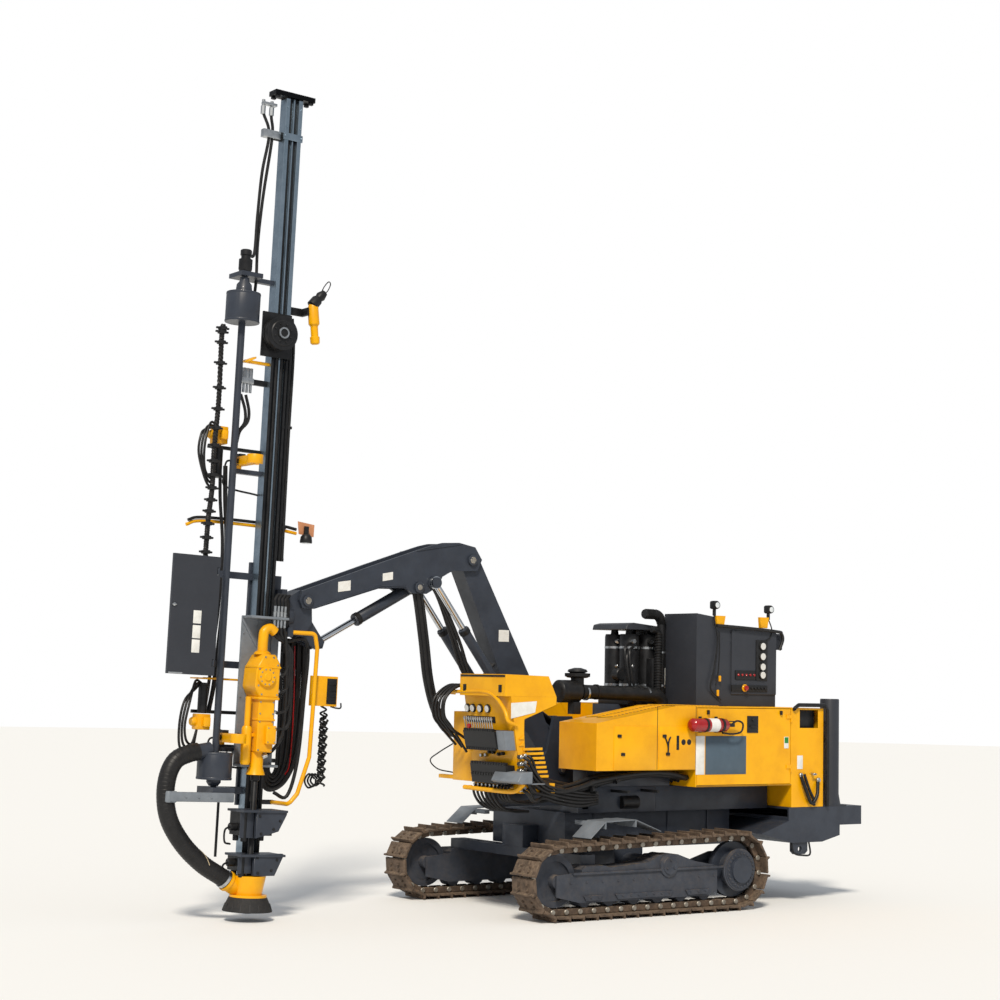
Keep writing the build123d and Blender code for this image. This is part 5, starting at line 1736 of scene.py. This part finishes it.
def wound(start, end, pitch, radius):
    """A helix on the hose between two distances along it."""
    first, _ = across(HOSE_LINE[1] - HOSE_LINE[0])
    places = []
    for k in range(1, len(HOSE_LINE) - 1):
        ahead = (HOSE_LINE[k + 1] - HOSE_LINE[k - 1]).normalized()
        first = (first - first.dot(ahead) * ahead).normalized()
        turn = 2 * pi * HOSE_STEP * k / pitch
        if start <= HOSE_STEP * k <= end:
            places.append(HOSE_LINE[k] + radius * (cos(turn) * first + sin(turn) * ahead.cross(first)))
    return places

# %% Suction hose
def suction_hose(mesh):
    tube(mesh, HOSE_LINE[::8] + [HOSE_LINE[-1]], HOSE_RADIUS, 32, soft=False)
    tube(mesh, wound(90, 1e9, 30, HOSE_RADIUS - 0.5), 3.0, 6, soft=False)


piece("suction_hose", suction_hose, RUBBER, "feed", FEED)


def hose_stripes(mesh):
    for start, end in ((330, 560), (1130, 1300)):
        for shift in (0, 16, 32):
            tube(mesh, wound(start + shift, end + shift, 620, HOSE_RADIUS - 2), 5.0, 6, soft=False)


piece("suction_hose_beige_stripes", hose_stripes, BEIGE_RUBBER, "feed", FEED)


def hose_seat(mesh):
    box(mesh, 85.3, 190, -50, -10, 1400, 1480, 4)
    box(mesh, 150, 560, -30, 60, 1420, 1460, 4)
    start, end = HOSE_LINE[-1], HOSE_LINE[-1] + (HOSE_LINE[-1] - HOSE_LINE[-20]).normalized() * 120
    bar(mesh, start, end, 64, 32, 3)


piece("suction_hose_seat", hose_seat, CHARCOAL, "feed", FEED)

# %% [markdown]
# The hood collects the dust at the hole: a turned yellow cone with a neck for the hose, above a flared
# rubber skirt that meets the ground.

# %% Hood and skirt
def hood_cone(mesh):
    turned(mesh, (*ROD_LINE, 199), (*ROD_LINE, 379),
           ((0, 160), (0.11, 160), (0.11, 118), (0.97, 144), (1, 144), (1, 60), (0, 60)), 44, bored=True)
    turned(mesh, FEED.inverted() @ Vector((2740, -220, 262)), FEED.inverted() @ Vector((2870, -220, 345)),
           ((0, 60), (0.3, 78), (0.8, 80), (0.84, 90), (1, 90)), 32)


made = piece("suction_hood_cone", hood_cone, YELLOW, "feed", FEED)
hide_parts("suction_hood")


def hood_bolts(mesh):
    for number in range(10):
        angle = 2 * pi * number / 10
        bolt(mesh, (80 + 146 * cos(angle), 200 + 146 * sin(angle), 212), (cos(angle), sin(angle), 0.1), 9)
    start = FEED.inverted() @ Vector((2876, -220, 349))
    turned(mesh, start, start + Vector((22, 0, 15)), ((0, 84), (1, 84)), 32)


piece("suction_hood_bolts", hood_bolts, ZINC, "feed", FEED)


def skirt_flare(mesh):
    turned(mesh, (*ROD_LINE, 80), (*ROD_LINE, 198),
           ((0, 214), (0.12, 212), (0.75, 178), (1, 165), (1, 60), (0.9, 60), (0.9, 150), (0, 204)), 48,
           bored=True)


made = piece("rubber_skirt", skirt_flare, MATT_RUBBER, "feed", FEED)
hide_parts("hood_skirt")


def skirt_slits(mesh):
    for number in range(16):
        angle = 2 * pi * number / 16
        bar(mesh, (80 + 213 * cos(angle), 200 + 213 * sin(angle), 84),
            (80 + 190 * cos(angle), 200 + 190 * sin(angle), 148), 3.5, 6, 1)


piece("rubber_skirt_slits", skirt_slits, BLACK_STEEL, "feed", FEED)

# %% [markdown]
# The centraliser steadies the drill rod at two heights. Each jaw block is bored for the rod, and a
# folded guard stands in front of it.

# %% Centraliser
# (outline of the guard seen from the left, lowest and highest end of the jaw block)
GUIDES = ((((110, 925), (-185, 940), (-185, 905), (-110, 760), (110, 700)), 700, 920),
          (((110, 565), (-170, 572), (-170, 545), (-95, 385), (110, 385)), 400, 545))


def jaws(mesh):
    for _, low, high in GUIDES:
        bored_block(mesh, -80, 220, 55.3, 270, low + 20, high, ROD_LINE, 60)
        for forward, left in ((-40, 150), (190, 120), (190, 260)):
            bar(mesh, (forward, left, low - 30), (forward, left, high), 26, 16, 4)
        bar(mesh, (-80, 150, low + 80), (-150, 150, low + 80), 30, 16, 4)
        bar(mesh, (220, 180, low + 90), (290, 180, low + 90), 34, 16, 4)
        tube(mesh, [(285, 180, low + 90), (330, 180, low + 60), (310, 150, low - 40), (240, 120, low - 60)],
             9, 8)
    bar(mesh, (300, -20, 520), (300, -20, 1000), 12, 10, 2)


piece("centraliser_jaws", jaws, BLACK_STEEL, "feed", FEED)


def wedge_guards(mesh):
    for outline, low, high in GUIDES:
        sheet(mesh, [(forward, 290, up) for forward, up in outline], (0, 40, 0), 3)
        sheet(mesh, [(110, 270, low), (240, 270, low), (240, 270, high), (110, 270, high)], (0, 12, 0), 3)
        bored_block(mesh, -185, 250, 55.3, 345, high, high + 20, ROD_LINE, 60)


made = piece("centraliser_guards", wedge_guards, CHARCOAL, "feed", FEED)
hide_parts("centraliser")


def centraliser_bolts(mesh):
    for forward, up in ((-120, 850), (-60, 780), (60, 740), (80, 890), (-110, 520), (-60, 430), (70, 410),
                        (80, 540)):
        bolt(mesh, (forward, 330, up), (0, 1, 0), 14)


piece("centraliser_bolts", centraliser_bolts, BLACK_STEEL, "feed", FEED)

# %% Bracket across the foot
def foot_beam(mesh):
    box(mesh, 300, 900, 200, 262, 998, 1078, 8)
    for forward in (860, 904):
        turned(mesh, (forward, 230, 990), (forward, 230, 1084), ((0, 24), (0.1, 30), (0.9, 30), (1, 24)), 24)
    box(mesh, 420, 470, 150, 210, 1000, 1075, 4)
    for forward in (520, 640, 760):
        bolt(mesh, (forward, 262, 1038), (0, 1, 0), 12)


piece("foot_beam_details", foot_beam, GREY_STEEL, "feed", FEED)

# %% [markdown]
# The holder carries the hoses that loop down to the drill and back. A bent yellow tube guards them, so its
# line is straight runs joined by arcs of one radius, as a tube bender makes them.

# %% Hose guard on the holder
def bent_route(corners, bend):
    """Straight runs joined by arcs."""
    corners = [Vector(c) for c in corners]
    line = [corners[0]]
    for before, corner, after in zip(corners, corners[1:], corners[2:]):
        back, ahead = (before - corner).normalized(), (after - corner).normalized()
        half = back.angle(ahead) / 2
        centre = corner + (back + ahead).normalized() * bend / sin(half)
        reach = bend / sin(half) * cos(half)
        first, last = corner + back * reach - centre, corner + ahead * reach - centre
        line += [centre + first.slerp(last, share / 6).normalized() * bend for share in range(7)]
    return line + [corners[-1]]


HOLDER_GUARD = ((-250, -79, 990), (-250, 230, 990), (-330, 230, 1080), (-430, 230, 1400), (-440, 230, 1800),
                (-450, 230, 2350), (-420, 230, 2480), (-190, 160, 2480))
# (forward, up) of the outermost and the innermost hose of the curtain
CURTAIN_OUTER = ((-575, 2384), (-590, 1933), (-551, 1432), (-452, 1182), (-316, 1092), (-225, 1130),
                 (-200, 1300))
CURTAIN_INNER = ((-339, 2446), (-345, 1933), (-350, 1450), (-345, 1290), (-310, 1220), (-270, 1250),
                 (-262, 1340))


def guard_tube_and_box(mesh):
    tube(mesh, bent_route(HOLDER_GUARD, 40), 19, 14, soft=False)
    box(mesh, -700, -450, 190, 200, 1850, 2115, 3)
    box(mesh, -480, -470, 100, 200, 1850, 2115, 3)
    box(mesh, -455, -436, 190, 232, 1950, 2000, 3)


piece("holder_yellow_grille", guard_tube_and_box, YELLOW, "holder", FEED)


def grille_slots(mesh):
    box(mesh, -690, -590, 199, 204, 1870, 2095, 2)
    for row in range(4):
        box(mesh, -680, -600, 203, 214, 1885 + 52 * row, 1897 + 52 * row, 1)
    tube(mesh, [(-640, 195, 1850), (-700, 195, 1838), (-745, 195, 1842), (-745, 195, 1885)], 7, 8)
    box(mesh, -600, -330, -212, -172, 2396, 2440, 5)
    box(mesh, -340, -215, -190, -160, 2405, 2440, 4)
    box(mesh, -280, -190, -215, -165, 1320, 1380, 5)
    box(mesh, -262, -230, -170, -60, 1335, 1370, 4)


piece("holder_grille_slots", grille_slots, BLACK_STEEL, "holder", FEED)

# %% Curly hoses
def holder_hoses(mesh):
    for number in range(3):
        tube(mesh, [(-650 + 8 * number + (26 + 4 * number) * cos(k * 0.62 + number),
                     60 + 26 * number + 26 * sin(k * 0.62 + number), 1850 - k * 7 - 60 * number)
                    for k in range(84)], 9, 8, soft=False)
    for turn in range(3):
        tube(mesh, [(-640 + 24 * turn, 90, 1290 - 40 * turn), (-668 + 40 * turn, 90, 1220 - 30 * turn),
                    (-600 + 40 * turn, 90, 1150 - 10 * turn), (-540 + 30 * turn, 90, 1190),
                    (-580 + 30 * turn, 90, 1250), (-640 + 30 * turn, 90, 1210)], 9, 8)
    tube(mesh, [(-640, 80, 1850), (-600, 60, 1900), (-560, 20, 1990)], 9, 8)


piece("holder_hoses", holder_hoses, RUBBER, "holder", FEED)

# %% Hose curtain
def hose_curtain(mesh):
    for number in range(9):
        share = number / 8
        tube(mesh, [(a[0] + share * (b[0] - a[0]), -190 + 14 * (number % 2), a[1] + share * (b[1] - a[1]))
                    for a, b in zip(CURTAIN_INNER, CURTAIN_OUTER)], 17, 10)


piece("holder_hose_curtain", hose_curtain, RUBBER, "holder", FEED)


def thin_red_hose(mesh):
    tube(mesh, [(-444, -158, 2376), (-468, -158, 1929), (-471, -158, 1555), (-458, -158, 1307),
                (-420, -158, 1230)], 6, 8)


piece("holder_thin_red_hose", thin_red_hose, RED, "holder", FEED)

# %% [markdown]
# The picture was taken outdoors from the left front, at standing height, with a long lens. The same
# camera is set here. The floor is a pale sheet that only catches the shadow, and the light is a broad
# sky with one soft sun from the left.

# %% Floor, light and camera
floor_mesh = bmesh.new()
bmesh.ops.create_circle(floor_mesh, cap_ends=True, segments=64, radius=60)
floor_data = bpy.data.meshes.new("pale_floor")
floor_mesh.to_mesh(floor_data)
floor_mesh.free()
floor = bpy.data.objects.new("pale_floor", floor_data)
bpy.context.scene.collection.objects.link(floor)
floor.location.z = -0.001
paving = bpy.data.materials.new("pale_studio_floor")
paving.use_nodes = True
tree = paving.node_tree
shader = tree.nodes["Principled BSDF"]
shader.inputs["Base Color"].default_value = linear("#F4F4F2")
shader.inputs["Roughness"].default_value = 0.9
floor_data.materials.append(paving)

# %% Soft sky
world = bpy.data.worlds.new("soft_sky")
bpy.context.scene.world = world
world.use_nodes = True
tree = world.node_tree
tree.nodes.clear()
out = add_node(tree, "ShaderNodeOutputWorld")
rays = add_node(tree, "ShaderNodeLightPath")
sky = add_node(tree, "ShaderNodeBackground", color=linear("#EEF3FA"), strength=0.5)
white = add_node(tree, "ShaderNodeBackground", color=(1, 1, 1, 1), strength=1.0)
seen = add_node(tree, "ShaderNodeMath", {"operation": "MAXIMUM"})
tree.links.new(rays.outputs["Is Camera Ray"], seen.inputs[0])
tree.links.new(rays.outputs["Is Transmission Ray"], seen.inputs[1])
pick = add_node(tree, "ShaderNodeMixShader", fac=seen.outputs["Value"])
tree.links.new(sky.outputs["Background"], pick.inputs[1])
tree.links.new(white.outputs["Background"], pick.inputs[2])
tree.links.new(pick.outputs["Shader"], out.inputs["Surface"])

# %% Sun
sun_data = bpy.data.lights.new("soft_sun", "SUN")
sun_data.energy = 3.0
sun_data.angle = radians(10)
sun_data.color = linear("#FFF6E8")[:3]
sun = bpy.data.objects.new("soft_sun", sun_data)
sun.matrix_world = Matrix.Rotation(radians(-38), 4, "X") @ Matrix.Rotation(radians(28), 4, "Y")
bpy.context.scene.collection.objects.link(sun)

# %% Camera
yaw, pitch, roll = radians(54.1067), radians(5.2018), radians(1.1403)
ahead = Vector((-cos(yaw) * cos(pitch), -sin(yaw) * cos(pitch), sin(pitch)))
right = Vector((-sin(yaw), cos(yaw), 0))
up = right.cross(ahead)
right, up = cos(roll) * right + sin(roll) * up, cos(roll) * up - sin(roll) * right
camera_data = bpy.data.cameras.new("photo_camera")
camera_data.lens = 71.59
camera_data.sensor_width = 36
camera = bpy.data.objects.new("photo_camera", camera_data)
looking = Matrix((right, up, -ahead)).transposed().to_4x4()
camera.matrix_world = Matrix.Translation((11.100, 15.022, 2.082)) @ looking
bpy.context.scene.collection.objects.link(camera)
bpy.context.scene.camera = camera
bpy.context.scene.view_settings.view_transform = "Standard"
